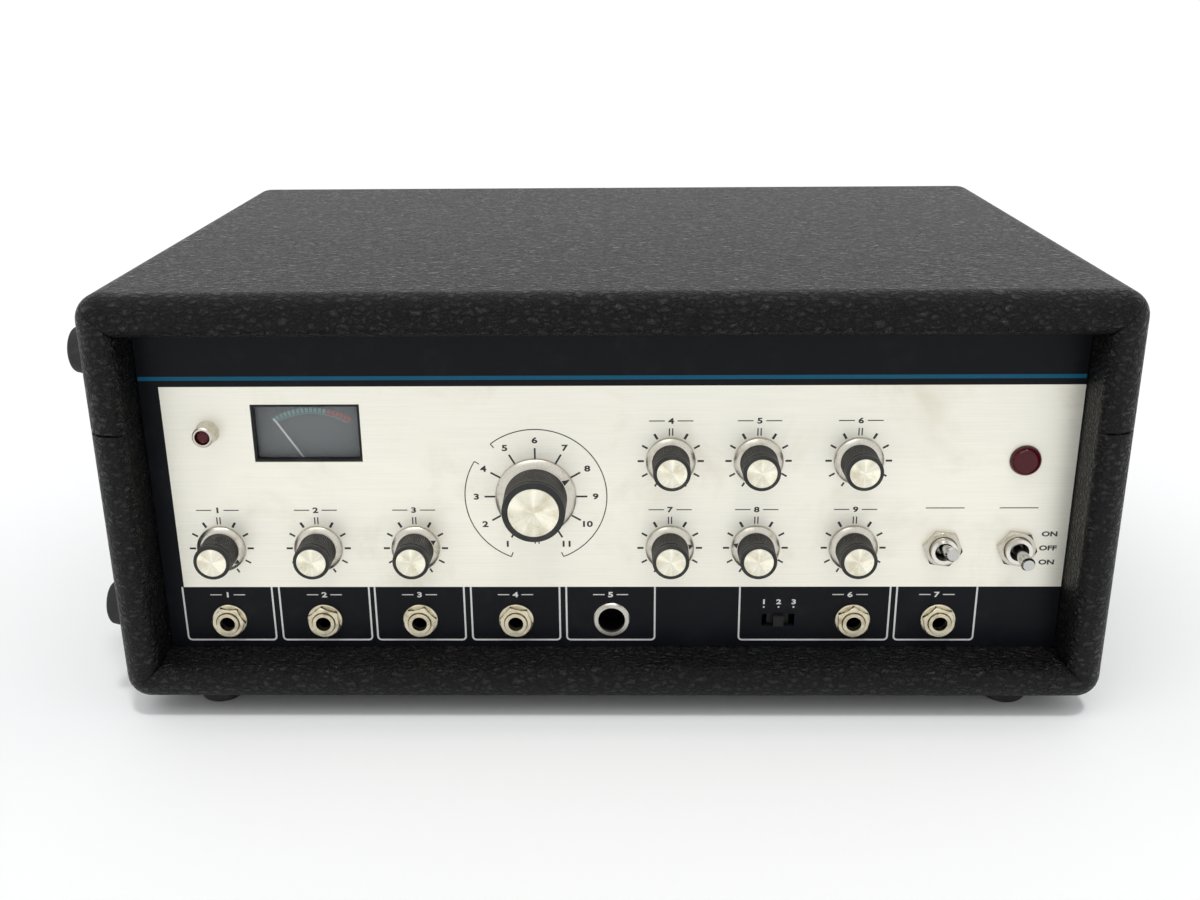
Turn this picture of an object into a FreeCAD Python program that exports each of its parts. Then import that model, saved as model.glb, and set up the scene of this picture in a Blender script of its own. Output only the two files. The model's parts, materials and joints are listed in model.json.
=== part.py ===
"""Tape echo unit: a vinyl-covered cabinet in two halves round a recessed control panel.

X runs to the right of the control panel, Y to the back and Z up. Z = 0 is the surface that the
feet stand on, Y = 0 is the middle of the cabinet's depth, and X = 0 is the middle of the whole
width, feet and handle included. Inside this file X is counted from the cabinet's own middle
plane, and save() makes the shift. All sizes are in millimetres.
"""
import FreeCAD, Part
import math
import os
from FreeCAD import Vector

# Cabinet
CABINET_WIDTH = 415.0
CABINET_DEPTH = 282.0
CABINET_HEIGHT = 176.4
SIDE_WALL = 16.2
BOTTOM_WALL = 16.6
TOP_WALL = 16.2
BACK_WALL = 12.0
CORNER_RADIUS = 10.5
RIM_RADIUS = 4.0
SEAM_HEIGHT = 120.7
SEAM_GROOVE_HEIGHT = 1.0
SEAM_GROOVE_DEPTH = 1.2
TONGUE_THICKNESS = 3.6
TONGUE_RISE = 6.0
TONGUE_DROP = 14.0
TONGUE_SETBACK = 6.0
TONGUE_CLEARANCE = 0.4

# Rubber feet, the same under the cabinet and on its left side
FOOT_HEIGHT = 8.6
FOOT_RADIUS = 11.0
FOOT_TOP_RADIUS = 9.4
FOOT_ROUNDING = 2.0
FOOT_SIDE_INSET = 35.1
FOOT_INSET = 24.5
SIDE_FOOT_LOW_HEIGHT = 36.1
SIDE_FOOT_HIGH_HEIGHT = 149.7

# Control panel
PANEL_RECESS = 20.0
PANEL_THICKNESS = 2.0
PANEL_GAP = 0.4

# How far a cutting shape reaches past the faces that it cuts, and joined shapes into each other
OVERCUT = 1.0

# Sides of a nut
HEXAGON_SIDES = 6

# Places on the control panel: the left group is counted from the left wall, the right group from
# the right wall and the middle group from the middle; heights are above the cabinet's underside
LEFT_KNOB_INSET = 26.8
LEFT_KNOB_PITCH = 41.2
LEFT_JACK_COUNT = 4
LEFT_JACK_PITCH = 41.3
PEAK_LAMP_INSET = 26.5
METER_INSET = 67.2
MODE_X = -30.8
LINE_SOCKET_X = 0.4
FIRST_RIGHT_KNOB_INSET = 166.3
SECOND_RIGHT_KNOB_INSET = 130.3
THIRD_RIGHT_KNOB_INSET = 89.3
RIGHT_KNOB_INSETS = (FIRST_RIGHT_KNOB_INSET, SECOND_RIGHT_KNOB_INSET, THIRD_RIGHT_KNOB_INSET)
RIGHT_JACK_INSETS = (87.7, 51.2)
LEVEL_SWITCH_INSET = 119.5
TOGGLE_INSETS = (52.1, 21.1)
POWER_LAMP_INSET = 21.3
HIGH_ROW = 102.6
LOW_ROW = 63.6
JACK_ROW = 29.8
MODE_HEIGHT = 87.0
PEAK_LAMP_HEIGHT = 115.7
METER_HEIGHT = 115.0

# Small knobs
SHAFT_RADIUS = 3.0
RUNNING_CLEARANCE = 0.05
KNOB_SKIRT_RADIUS = 10.15
KNOB_GRIP_RADIUS = 7.6
KNOB_CAP_RADIUS = 6.1
KNOB_HEIGHT = 15.0
# Pointer angles at rest, clockwise from straight up
KNOB_REST = {
    "knob_input_volume_1": 130.0,
    "knob_input_volume_2": -150.0,
    "knob_input_volume_3": 65.0,
    "knob_intensity": -150.0,
    "knob_echo_volume": -150.0,
    "knob_treble": 120.0,
    "knob_repeat_rate": 80.0,
    "knob_reverb_volume": -76.0,
    "knob_bass": 120.0,
}

# Mode knob
MODE_SKIRT_RADIUS = 16.8
MODE_GRIP_RADIUS = 12.9
MODE_CAP_RADIUS = 10.4
MODE_KNOB_HEIGHT = 18.0
MODE_REST = 60.0

# What all knobs share
SKIRT_GAP = 0.8
SKIRT_THICKNESS = 1.4
SKIRT_EDGE = 0.5
SKIRT_BEVEL = 1.6
POINTER_DEPTH = 0.4
POINTER_WIDTH = 2.4
CAP_THICKNESS = 0.8
CAP_CLEARANCE = 0.1
CAP_EDGE = 0.1
COLLAR_DEPTH = 2.4
GROOVE_DEPTH = 0.4
GROOVE_WIDTH = 0.5
GRIP_EDGE = 0.4
GRIP_WALL_OVER_SHAFT = 4.0

# Potentiometers and the rotary switch
BUSHING_RADIUS = 4.0
BUSHING_LENGTH = 2.6
BUSHING_CLEARANCE = 0.15
BUSHING_NUT_ROOM = 0.8
POT_RADIUS = 8.5
POT_DEPTH = 10.0
POT_BACK = 1.0
MODE_SWITCH_RADIUS = 16.0
MODE_SWITCH_DEPTH = 28.0

# Jack sockets
JACK_BORE_RADIUS = 3.25
JACK_BUSHING_RADIUS = 4.7
JACK_THREAD_CLEARANCE = 0.1
JACK_WASHER_RADIUS = 7.5
JACK_WASHER_THICKNESS = 1.0
JACK_NUT_FLATS = 12.7
JACK_NUT_THICKNESS = 2.4
JACK_LIP = 0.8
JACK_BODY_WIDTH = 15.0
JACK_BODY_HEIGHT = 13.0
JACK_BODY_DEPTH = 22.0
JACK_BORE_DEPTH = 18.0

# Line socket
LINE_SOCKET_RADIUS = 5.8
LINE_SOCKET_WALL = 0.9
LINE_SOCKET_RIM = 1.2
LINE_SOCKET_RIM_HEIGHT = 0.5
LINE_SOCKET_DEPTH = 12.0

# Slide switch
LEVEL_TRAVEL = 4.4
LEVEL_BUTTON_WIDTH = 4.4
LEVEL_BUTTON_HEIGHT = 4.9
LEVEL_BUTTON_PROUD = 1.6
LEVEL_GAP = 0.4
LEVEL_CARRIAGE_WIDTH = 9.4
LEVEL_CARRIAGE_HEIGHT = 6.8
LEVEL_CARRIAGE_DEPTH = 3.0
LEVEL_BODY_WALL = 3.0

# Toggle switches
TOGGLE_BORE_RADIUS = 4.0
TOGGLE_BUSHING_RADIUS = 5.5
TOGGLE_BUSHING_LENGTH = 5.0
TOGGLE_NUT_FLATS = 14.6
TOGGLE_NUT_THICKNESS = 2.4
TOGGLE_NUT_TURN = 8.0
TOGGLE_LEVER_LENGTH = 18.0
TOGGLE_LEVER_ROOT_RADIUS = 1.9
TOGGLE_LEVER_TIP_RADIUS = 2.9
TOGGLE_LEVER_EDGE = 0.6
TOGGLE_BALL_RADIUS = 3.2
TOGGLE_PIVOT_DEPTH = 1.0
TOGGLE_THROW = 13.5
TOGGLE_BODY = (15.0, 22.0, 18.0)

# Lamps
POWER_LENS_RADIUS = 6.4
POWER_LENS_HEIGHT = 3.6
POWER_LENS_FLAT_RADIUS = 2.7
POWER_LENS_STEP = 0.4
POWER_LENS_FLANGE_RADIUS = 8.0
POWER_LENS_FLANGE = 1.0
LAMP_HOLDER_DEPTH = 12.0
LAMP_HOLDER_COLLAR = 6.0
LAMP_HOLDER_STEP = 2.5
PEAK_BEZEL_RADIUS = 4.9
PEAK_BEZEL_FRONT_RADIUS = 4.2
PEAK_BEZEL_LENGTH = 7.5
PEAK_BEZEL_EDGE = 0.4
PEAK_LENS_RADIUS = 3.0
PEAK_LENS_SINK = 0.8
PEAK_LENS_CROWN = 1.0
PEAK_LENS_FLAT_RADIUS = 0.8
PEAK_BARREL_RADIUS = 4.0
PEAK_BARREL_DEPTH = 8.0
LAMP_FIT = 0.1

# Meter
METER_WINDOW_WIDTH = 44.6
METER_WINDOW_HEIGHT = 24.9
METER_RIM = 0.9
METER_CASE_MARGIN = 4.7
METER_CASE_TOP = 18.0
METER_CASE_BOTTOM = 24.0
METER_CASE_DEPTH = 23.0
METER_CASE_WALL = 2.0
METER_GLASS_THICKNESS = 1.2
METER_SCALE_DEPTH = 8.0
METER_SCALE_THICKNESS = 0.8
NEEDLE_PIVOT_DROP = 19.0
NEEDLE_LENGTH = 27.5
NEEDLE_WIDTH = 0.7
NEEDLE_THICKNESS = 0.6
NEEDLE_HUB_RADIUS = 2.4
NEEDLE_HUB_PROUD = 1.0
NEEDLE_PIN_RADIUS = 0.8
NEEDLE_DEPTH = 5.0
NEEDLE_REST = -33.0

# Chassis and deck
SHEET = 1.5
CHASSIS_SIDE_ROOM = 7.3
CHASSIS_FLANGE_GAP = 0.9
CHASSIS_BACK_ROOM = 9.5
CHASSIS_FLANGE = 12.0
DECK_THICKNESS = 2.0
DECK_RISE = 0.5
DECK_SETBACK = 27.0
DECK_GAP = 1.7

# Tape chamber and tape
CHAMBER_SIDE_ROOM = 21.0
CHAMBER_SETBACK = 54.0
CHAMBER_BACK_ROOM = 10.0
CHAMBER_WALL = 2.0
CHAMBER_HEIGHT = 12.0
CHAMBER_BOSS_RADIUS = 5.5
CHAMBER_BOSS_INSET = 6.0
COVER_THICKNESS = 2.0
TAPE_WIDTH = 6.35
TAPE_THICKNESS = 0.3
TAPE_LIFT = 3.0
TAPE_SETBACK = 57.0
TAPE_END_ROOM = 10.0
TAPE_SLOT_WIDTH = 8.0
TAPE_FOLDS = 13
TAPE_FOLD_MARGIN = 5.0
SPLICE_GAP = 0.6
GUIDE_RADIUS = 4.0
GUIDE_FLANGE_RADIUS = 6.0
GUIDE_FLANGE = 1.5
GUIDE_GAP = 0.3
GUIDE_EDGE_GAP = 0.5
ERASE_HEAD_X = 118.0
HEAD_PITCH = 37.0
HEAD_COUNT = 5
HEAD_WIDTH = 15.0
HEAD_DEPTH = 16.0
HEAD_HEIGHT = 14.0
HEAD_NOSE = 3.0
HEAD_GAP = 0.1

# Capstan, pinch roller and motor
CAPSTAN_X = -105.0
CAPSTAN_RADIUS = 4.0
CAPSTAN_RISE = 16.0
CAPSTAN_CHAMFER = 0.6
CAPSTAN_HOLE_ROOM = 0.5
CAPSTAN_END_GAP = 0.1
DRIVE_GAP = 0.3
MOTOR_RADIUS = 30.0
MOTOR_HEIGHT = 43.0
MOTOR_ROUNDING = 2.0
MOTOR_BOSS_RADIUS = 18.0
MOTOR_BOSS_HEIGHT = 2.0
MOTOR_BEARING_DEPTH = 25.0
PINCH_RADIUS = 11.0
PINCH_HUB_RADIUS = 4.5
PINCH_PIN_RADIUS = 2.0
PINCH_WIDTH = 8.0
PINCH_ARM_LENGTH = 30.0
PINCH_ARM_OFFSET = -3.0
PINCH_ARM_THICKNESS = 2.5
PINCH_ARM_WIDTH = 9.0
PINCH_ARM_GAP = 0.3
PINCH_PIN_PROUD = 1.2
PINCH_PIVOT_RADIUS = 2.5
PINCH_PIVOT_PROUD = 1.0
PINCH_SPRING_WIRE = 1.0
PINCH_SPRING_HEIGHT = 4.0

# Electrics on the chassis floor
BOARD_LIFT = 8.0
BOARD_THICKNESS = 1.6
BOARD_PILLAR_RADIUS = 3.0
BOARD_SETBACK = 34.0
BOARD_SIDE_ROOM = 12.0
SIGNAL_BOARD_WIDTH = 242.0
SIGNAL_BOARD_DEPTH = 92.0
SIGNAL_CAPACITOR_COUNT = 7
SIGNAL_CAPACITOR_PITCH = 30.0
SIGNAL_CAPACITOR_RADIUS = 5.0
SIGNAL_CAPACITOR_HEIGHT = 16.0
POWER_BOARD_WIDTH = 94.0
POWER_BOARD_DEPTH = 70.0
POWER_CAPACITOR_COUNT = 2
POWER_CAPACITOR_PITCH = 32.0
POWER_CAPACITOR_RADIUS = 12.0
POWER_CAPACITOR_HEIGHT = 30.0
CAPACITOR_INSET = 24.0
TRANSFORMER_SIZE = (66.0, 34.0, 56.0)
TRANSFORMER_BELL = (52.0, 13.0, 44.0)
TRANSFORMER_BELL_ROUNDING = 8.0
TRANSFORMER_TANK_ROOM = 6.0
TRANSFORMER_BACK_ROOM = 36.0
TANK_SIZE = (250.0, 56.0, 32.0)
TANK_SIDE_ROOM = 14.0
TANK_BACK_ROOM = 8.0
TANK_SPRING_RADIUS = 3.0
TANK_SPRING_PITCH = 18.0
TANK_SPRING_RISE = 13.0
TANK_BLOCK_WIDTH = 16.0
TANK_BLOCK_DEPTH = 28.0
TANK_BLOCK_HEIGHT = 22.0

# Rear panel
REAR_OPENING = (150.0, 56.0)
REAR_OPENING_HEIGHT = 60.0
REAR_PANEL_LAP = 9.0
GLAND_X = 46.0
GLAND_RADIUS = 8.0
GLAND_BORE_RADIUS = 3.75
GLAND_NECK_RADIUS = 6.0
GLAND_PROUD = 9.0
GLAND_INNER = 6.0
FUSE_X = -46.0
FUSE_RADIUS = 7.5
FUSE_NECK_RADIUS = 6.0
FUSE_PROUD = 9.5
FUSE_INNER = 24.0
REAR_FITTING_CHAMFER = 1.2

# Handle on the right side
HANDLE_HEIGHT = 60.0
HANDLE_HALF_LENGTH = 76.0
HANDLE_SHOULDER = 61.0
HANDLE_SHOULDER_RISE = 5.0
HANDLE_WIDTH = 25.0
HANDLE_THICKNESS = 5.0
HANDLE_STANDOFF = 25.0
HANDLE_END_LENGTH = 21.0
END_CAP_LENGTH = 30.0
END_CAP_WIDTH = 33.0
END_CAP_HEIGHT = 10.0
END_CAP_ROUNDING = 3.0
HANDLE_GAP = 0.4

# Catches on both sides
CATCH_WIDTH = 24.0
CATCH_PLATE = 1.5
CATCH_DROP = 36.0
CATCH_PIVOT_OUT = 5.0
CATCH_BARREL_RADIUS = 3.0
CATCH_PIN_RADIUS = 1.2
CATCH_LEVER_THICKNESS = 2.0
CATCH_LEVER_OUT = 6.0
CATCH_REACH = 16.0
CATCH_HOOK_HEIGHT = 3.0
CATCH_HOOK_IN = 3.0
CATCH_EAR = 2.0
CATCH_SIDE_GAP = 0.3
KEEPER_RISE = 2.0
KEEPER_LIP_TOP = 12.5
KEEPER_LIP_HEIGHT = 2.5
KEEPER_LIP_OUT = 4.6
CATCH_REST = 5.0
CATCH_PLATE_MARGIN = 1.0

# Screws
SCREW_HEAD_RADIUS = 3.2
SCREW_HEAD_HEIGHT = 1.8
SCREW_SHANK_RADIUS = 1.4
SCREW_HOLE_RADIUS = 1.5
SCREW_LENGTH = 6.0
SCREW_TIP_ROOM = 0.5

# Places worked out from the sizes above
LEFT = -CABINET_WIDTH / 2
RIGHT = CABINET_WIDTH / 2
FRONT = -CABINET_DEPTH / 2
BACK = CABINET_DEPTH / 2
UNDERSIDE = FOOT_HEIGHT
TOP = UNDERSIDE + CABINET_HEIGHT
FLOOR = UNDERSIDE + BOTTOM_WALL
CEILING = TOP - TOP_WALL
INNER = RIGHT - SIDE_WALL
SEAM = UNDERSIDE + SEAM_HEIGHT
PANEL_FRONT = FRONT + PANEL_RECESS
PANEL_BACK = PANEL_FRONT + PANEL_THICKNESS
DECK_TOP = SEAM + DECK_RISE + DECK_THICKNESS
DECK_UNDERSIDE = DECK_TOP - DECK_THICKNESS
FOOT_X = RIGHT - FOOT_SIDE_INSET
PEAK_LAMP_X = PEAK_LAMP_INSET - INNER
METER_X = METER_INSET - INNER
LEVEL_SWITCH_X = INNER - LEVEL_SWITCH_INSET
POWER_LAMP_X = INNER - POWER_LAMP_INSET
LEVEL_SLOT_WIDTH = LEVEL_BUTTON_WIDTH + 2 * (LEVEL_TRAVEL + LEVEL_GAP)
LEVEL_SLOT_HEIGHT = LEVEL_BUTTON_HEIGHT + 2 * LEVEL_GAP
REAR_OPENING_Z = UNDERSIDE + REAR_OPENING_HEIGHT
REAR_PLATE_BACK = BACK - BACK_WALL
REAR_PLATE_FRONT = REAR_PLATE_BACK - SHEET
CHASSIS_FLOOR = FLOOR + SHEET
CHASSIS_HALF_WIDTH = INNER - CHASSIS_SIDE_ROOM
CHASSIS_BACK = REAR_PLATE_FRONT - CHASSIS_BACK_ROOM
DECK_HALF_WIDTH = INNER - TONGUE_THICKNESS - DECK_GAP
DECK_FRONT = PANEL_BACK + DECK_SETBACK
DECK_BACK = BACK - BACK_WALL - TONGUE_THICKNESS - DECK_GAP
TAPE_Y = PANEL_BACK + TAPE_SETBACK
TAPE_BOTTOM = DECK_TOP + TAPE_LIFT
CHAMBER_HALF_WIDTH = DECK_HALF_WIDTH - CHAMBER_SIDE_ROOM
CHAMBER_FRONT = TAPE_Y + CHAMBER_SETBACK
CHAMBER_BACK = DECK_BACK - CHAMBER_BACK_ROOM
TAPE_HALF_SPAN = CHAMBER_HALF_WIDTH - TAPE_END_ROOM
CAPSTAN_Y = TAPE_Y + TAPE_THICKNESS / 2 + DRIVE_GAP + CAPSTAN_RADIUS
PINCH_Y = TAPE_Y - TAPE_THICKNESS / 2 - DRIVE_GAP - PINCH_RADIUS
PINCH_PIVOT_X = CAPSTAN_X + PINCH_ARM_LENGTH
PINCH_PIVOT_Y = PINCH_Y + PINCH_ARM_OFFSET
PINCH_ARM_BOTTOM = DECK_TOP + PINCH_ARM_GAP
PINCH_ARM_TOP = PINCH_ARM_BOTTOM + PINCH_ARM_THICKNESS
CATCH_PIVOT_Z = SEAM - CATCH_DROP
CATCH_REACH_OUT = (
    CATCH_PIVOT_OUT
    + (CATCH_DROP + CATCH_REACH) * math.sin(math.radians(CATCH_REST))
    + (CATCH_LEVER_OUT + CATCH_LEVER_THICKNESS - CATCH_PIVOT_OUT) * math.cos(math.radians(CATCH_REST))
)
LEFT_REACH = max(CATCH_REACH_OUT, FOOT_HEIGHT)
RIGHT_REACH = max(CATCH_REACH_OUT, HANDLE_STANDOFF)
ORIGIN_SHIFT = (RIGHT_REACH - LEFT_REACH) / 2


def box(x0, x1, y0, y1, z0, z1):
    """Block between two values on each axis."""
    return Part.makeBox(x1 - x0, y1 - y0, z1 - z0, Vector(x0, y0, z0))


def block(x, y, z, size):
    """Block of a size (along X, Y, Z) that stands on (x, y, z) at the middle of its underside."""
    wide, deep, high = size
    return box(x - wide / 2, x + wide / 2, y - deep / 2, y + deep / 2, z, z + high)


def post(x, y, z0, z1, radius):
    """Upright cylinder."""
    return Part.makeCylinder(radius, z1 - z0, Vector(x, y, z0), Vector(0, 0, 1))


def bar_y(x, z, y0, y1, radius):
    """Cylinder along Y."""
    return Part.makeCylinder(radius, y1 - y0, Vector(x, y0, z), Vector(0, 1, 0))


def fuse(shapes):
    """Join overlapping shapes into one solid."""
    shapes = list(shapes)
    return shapes[0].multiFuse(shapes[1:]).removeSplitter()


def cut(shape, tools):
    """Take a list of tools out of a shape."""
    return shape.cut(list(tools))


def group(shapes):
    """Keep separate solids together under one name."""
    return Part.makeCompound(list(shapes))


def panel_z(height):
    """Z of a place on the control panel, given its height above the cabinet's underside."""
    return UNDERSIDE + height


def outline_face(points):
    """Face from (h, r) points; a point given as (h, r, h_mid, r_mid) is reached by an arc."""
    edges = []
    start = points[0]
    first = Vector(start[1], -start[0], 0)
    here = first
    for point in points[1:]:
        there = Vector(point[1], -point[0], 0)
        if len(point) == 4:
            middle = Vector(point[3], -point[2], 0)
            edges.append(Part.Arc(here, middle, there).toShape())
        else:
            edges.append(Part.LineSegment(here, there).toShape())
        here = there
    edges.append(Part.LineSegment(here, first).toShape())
    return Part.Face(Part.Wire(edges))


def turned(points, x, z):
    """Turned piece on the control panel: h is the height in front of the panel, r the radius."""
    solid = outline_face(points).revolve(Vector(0, 0, 0), Vector(0, 1, 0), 360)
    solid.translate(Vector(x, PANEL_FRONT, z))
    return solid


def turned_up(points, x, y, z):
    """Turned piece on an upright axis: h is the height above z, r the radius."""
    solid = outline_face(points).revolve(Vector(0, 0, 0), Vector(0, 1, 0), 360)
    solid.rotate(Vector(0, 0, 0), Vector(1, 0, 0), -90)
    solid.translate(Vector(x, y, z))
    return solid


def hexagon(flats, thickness, x, z, height):
    """Hexagonal nut blank on the control panel, from a height in front of it, a flat on top."""
    corner = flats / math.sqrt(3)
    y = PANEL_FRONT - height
    points = []
    for side in range(HEXAGON_SIDES + 1):
        angle = math.radians(360 * side / HEXAGON_SIDES)
        points.append(Vector(x + corner * math.cos(angle), y, z + corner * math.sin(angle)))
    return Part.Face(Part.makePolygon(points)).extrude(Vector(0, -thickness, 0))


def knob_places():
    """Places (x, z) of the nine small knobs by name."""
    places = {}
    names = list(KNOB_REST)
    for index, inset in enumerate(RIGHT_KNOB_INSETS):
        left_x = LEFT_KNOB_INSET - INNER + index * LEFT_KNOB_PITCH
        places[names[index]] = (left_x, panel_z(LOW_ROW))
        places[names[3 + index]] = (INNER - inset, panel_z(HIGH_ROW))
        places[names[6 + index]] = (INNER - inset, panel_z(LOW_ROW))
    return places


def jack_places():
    """Places (x, z) of the six jack sockets, from left to right."""
    left = [LEFT_KNOB_INSET - INNER + index * LEFT_JACK_PITCH for index in range(LEFT_JACK_COUNT)]
    right = [INNER - inset for inset in RIGHT_JACK_INSETS]
    return [(x, panel_z(JACK_ROW)) for x in left + right]


def toggle_places():
    """Places (x, z) of the two toggle switches: standby, then power."""
    return [(INNER - inset, panel_z(LOW_ROW)) for inset in TOGGLE_INSETS]


def screw_along_y(x, y, z, direction):
    """Pan-head screw whose head stands on the plane at y, on the side that direction gives."""
    head = Part.makeCylinder(SCREW_HEAD_RADIUS, SCREW_HEAD_HEIGHT, Vector(x, y, z), Vector(0, direction, 0))
    shank = Part.makeCylinder(SCREW_SHANK_RADIUS, SCREW_LENGTH, Vector(x, y, z), Vector(0, -direction, 0))
    return fuse([head, shank])


def screw_down(x, y, z):
    """Pan-head screw whose head stands on the plane at z."""
    head = post(x, y, z, z + SCREW_HEAD_HEIGHT, SCREW_HEAD_RADIUS)
    shank = post(x, y, z - SCREW_LENGTH, z, SCREW_SHANK_RADIUS)
    return fuse([head, shank])


# Cabinet

def whole_cabinet():
    """Both halves in one: a rounded box, open at the front, with a rounded rim."""
    outer = box(LEFT, RIGHT, FRONT, BACK, UNDERSIDE, TOP)
    outer = outer.makeFillet(CORNER_RADIUS, outer.Edges)
    hollow = box(-INNER, INNER, FRONT - OVERCUT, BACK - BACK_WALL, FLOOR, CEILING)
    shell = outer.cut(hollow)
    rim = [edge for edge in shell.Edges if is_rim(edge)]
    return shell.makeFillet(RIM_RADIUS, rim)


def is_rim(edge):
    """True for the inner edges of the front opening."""
    bounds = edge.BoundBox
    on_front = abs(bounds.YMin - FRONT) < 1e-6 and abs(bounds.YMax - FRONT) < 1e-6
    inside = bounds.XMin > -INNER - 1e-6 and bounds.XMax < INNER + 1e-6
    return on_front and inside and bounds.ZMin > FLOOR - 1e-6 and bounds.ZMax < CEILING + 1e-6


def full_slab(low, high):
    """Slab between two heights that reaches past the cabinet on all four sides."""
    return box(LEFT - OVERCUT, RIGHT + OVERCUT, FRONT - OVERCUT, BACK + OVERCUT, low, high)


def seam_groove():
    """Shallow groove all round the outside where the two halves meet."""
    half = SEAM_GROOVE_HEIGHT / 2
    slab = full_slab(SEAM - half, SEAM + half)
    core = box(LEFT, RIGHT, FRONT, BACK, UNDERSIDE, TOP)
    core = core.makeFillet(CORNER_RADIUS, core.Edges)
    inset = SEAM_GROOVE_DEPTH
    bottom = SEAM - half - OVERCUT
    top = SEAM + half + OVERCUT
    keep = box(LEFT + inset, RIGHT - inset, FRONT + inset, BACK - inset, bottom, top)
    corners = [edge for edge in keep.Edges if edge.BoundBox.ZLength > SEAM_GROOVE_HEIGHT]
    keep = keep.makeFillet(CORNER_RADIUS - inset, corners)
    return slab.common(core).cut(keep)


def tongue():
    """Strip inside the lower half that rises past the seam and keeps the upper half in place."""
    front = PANEL_BACK + TONGUE_SETBACK
    back = BACK - BACK_WALL
    strips = []
    for low, high, gap in ((SEAM - TONGUE_DROP, SEAM, 0), (SEAM, SEAM + TONGUE_RISE, TONGUE_CLEARANCE)):
        outer = box(-INNER + gap, INNER - gap, front, back - gap, low, high)
        inner_x = INNER - TONGUE_THICKNESS
        inner = box(-inner_x, inner_x, front - OVERCUT, back - TONGUE_THICKNESS, low, high)
        strips.append(outer.cut(inner))
    return fuse(strips)


def rear_screw_places():
    """Places (x, z) of the four screws of the rear panel."""
    half_x = REAR_OPENING[0] / 2 + REAR_PANEL_LAP / 2
    half_z = REAR_OPENING[1] / 2 + REAR_PANEL_LAP / 2
    return [(sx * half_x, REAR_OPENING_Z + sz * half_z) for sx in (-1, 1) for sz in (-1, 1)]


def make_lower_cabinet(shell):
    lower = shell.common(full_slab(UNDERSIDE - OVERCUT, SEAM))
    half_x = REAR_OPENING[0] / 2
    half_z = REAR_OPENING[1] / 2
    z = REAR_OPENING_Z
    window = box(-half_x, half_x, REAR_PLATE_FRONT, BACK + OVERCUT, z - half_z, z + half_z)
    holes = [window]
    for x, z in rear_screw_places():
        holes.append(bar_y(x, z, REAR_PLATE_BACK, REAR_PLATE_BACK + SCREW_LENGTH, SCREW_HOLE_RADIUS))
    return cut(fuse([lower, tongue()]), holes)


def make_upper_cabinet(shell):
    return shell.common(full_slab(SEAM, TOP + OVERCUT))


def foot(place, turn_axis, turn):
    """Rubber foot that stands down from a place on the underside, turned to face another side."""
    tip = FOOT_HEIGHT - FOOT_ROUNDING
    blend = FOOT_ROUNDING * (1 - math.sqrt(0.5))
    points = [
        (0, 0),
        (0, FOOT_RADIUS),
        (tip, FOOT_TOP_RADIUS),
        (FOOT_HEIGHT, FOOT_TOP_RADIUS - FOOT_ROUNDING, FOOT_HEIGHT - blend, FOOT_TOP_RADIUS - blend),
        (FOOT_HEIGHT, 0),
    ]
    solid = outline_face(points).revolve(Vector(0, 0, 0), Vector(0, 1, 0), 360)
    solid.rotate(Vector(0, 0, 0), Vector(1, 0, 0), 90)
    if turn:
        solid.rotate(Vector(0, 0, 0), turn_axis, turn)
    solid.translate(place)
    return solid


def make_rubber_feet():
    """Four feet under the cabinet and two on the lower half's left side."""
    feet = []
    for x in (-FOOT_X, FOOT_X):
        for y in (FRONT + FOOT_INSET, BACK - FOOT_INSET):
            feet.append(foot(Vector(x, y, UNDERSIDE), Vector(0, 1, 0), 0))
    for y in (FRONT + FOOT_INSET, BACK - FOOT_INSET):
        feet.append(foot(Vector(LEFT, y, UNDERSIDE + SIDE_FOOT_LOW_HEIGHT), Vector(0, 1, 0), 90))
    return group(feet)


def make_side_feet_upper():
    feet = []
    for y in (FRONT + FOOT_INSET, BACK - FOOT_INSET):
        feet.append(foot(Vector(LEFT, y, UNDERSIDE + SIDE_FOOT_HIGH_HEIGHT), Vector(0, 1, 0), 90))
    return group(feet)


# Control panel

def make_front_panel():
    half = INNER - PANEL_GAP
    plate = box(-half, half, PANEL_FRONT, PANEL_BACK, FLOOR + PANEL_GAP, CEILING - PANEL_GAP)
    front = PANEL_FRONT - OVERCUT
    back = PANEL_BACK + OVERCUT
    holes = []
    for x, z in list(knob_places().values()) + [(MODE_X, panel_z(MODE_HEIGHT))]:
        holes.append(bar_y(x, z, front, back, BUSHING_RADIUS + BUSHING_CLEARANCE))
    for x, z in jack_places():
        holes.append(bar_y(x, z, front, back, JACK_BUSHING_RADIUS + BUSHING_CLEARANCE))
    for x, z in toggle_places():
        holes.append(bar_y(x, z, front, back, TOGGLE_BUSHING_RADIUS + BUSHING_CLEARANCE))
    socket_radius = LINE_SOCKET_RADIUS + LINE_SOCKET_WALL + BUSHING_CLEARANCE
    holes.append(bar_y(LINE_SOCKET_X, panel_z(JACK_ROW), front, back, socket_radius))
    holes.append(bar_y(POWER_LAMP_X, panel_z(HIGH_ROW), front, back, POWER_LENS_RADIUS + LAMP_FIT))
    holes.append(bar_y(PEAK_LAMP_X, panel_z(PEAK_LAMP_HEIGHT), front, back, PEAK_BARREL_RADIUS + LAMP_FIT))
    half_x = METER_WINDOW_WIDTH / 2
    half_z = METER_WINDOW_HEIGHT / 2
    meter_z = panel_z(METER_HEIGHT)
    holes.append(box(METER_X - half_x, METER_X + half_x, front, back, meter_z - half_z, meter_z + half_z))
    half_x = LEVEL_SLOT_WIDTH / 2
    half_z = LEVEL_SLOT_HEIGHT / 2
    slot_z = panel_z(JACK_ROW)
    slot_x = LEVEL_SWITCH_X
    holes.append(box(slot_x - half_x, slot_x + half_x, front, back, slot_z - half_z, slot_z + half_z))
    return cut(plate, holes)


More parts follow.
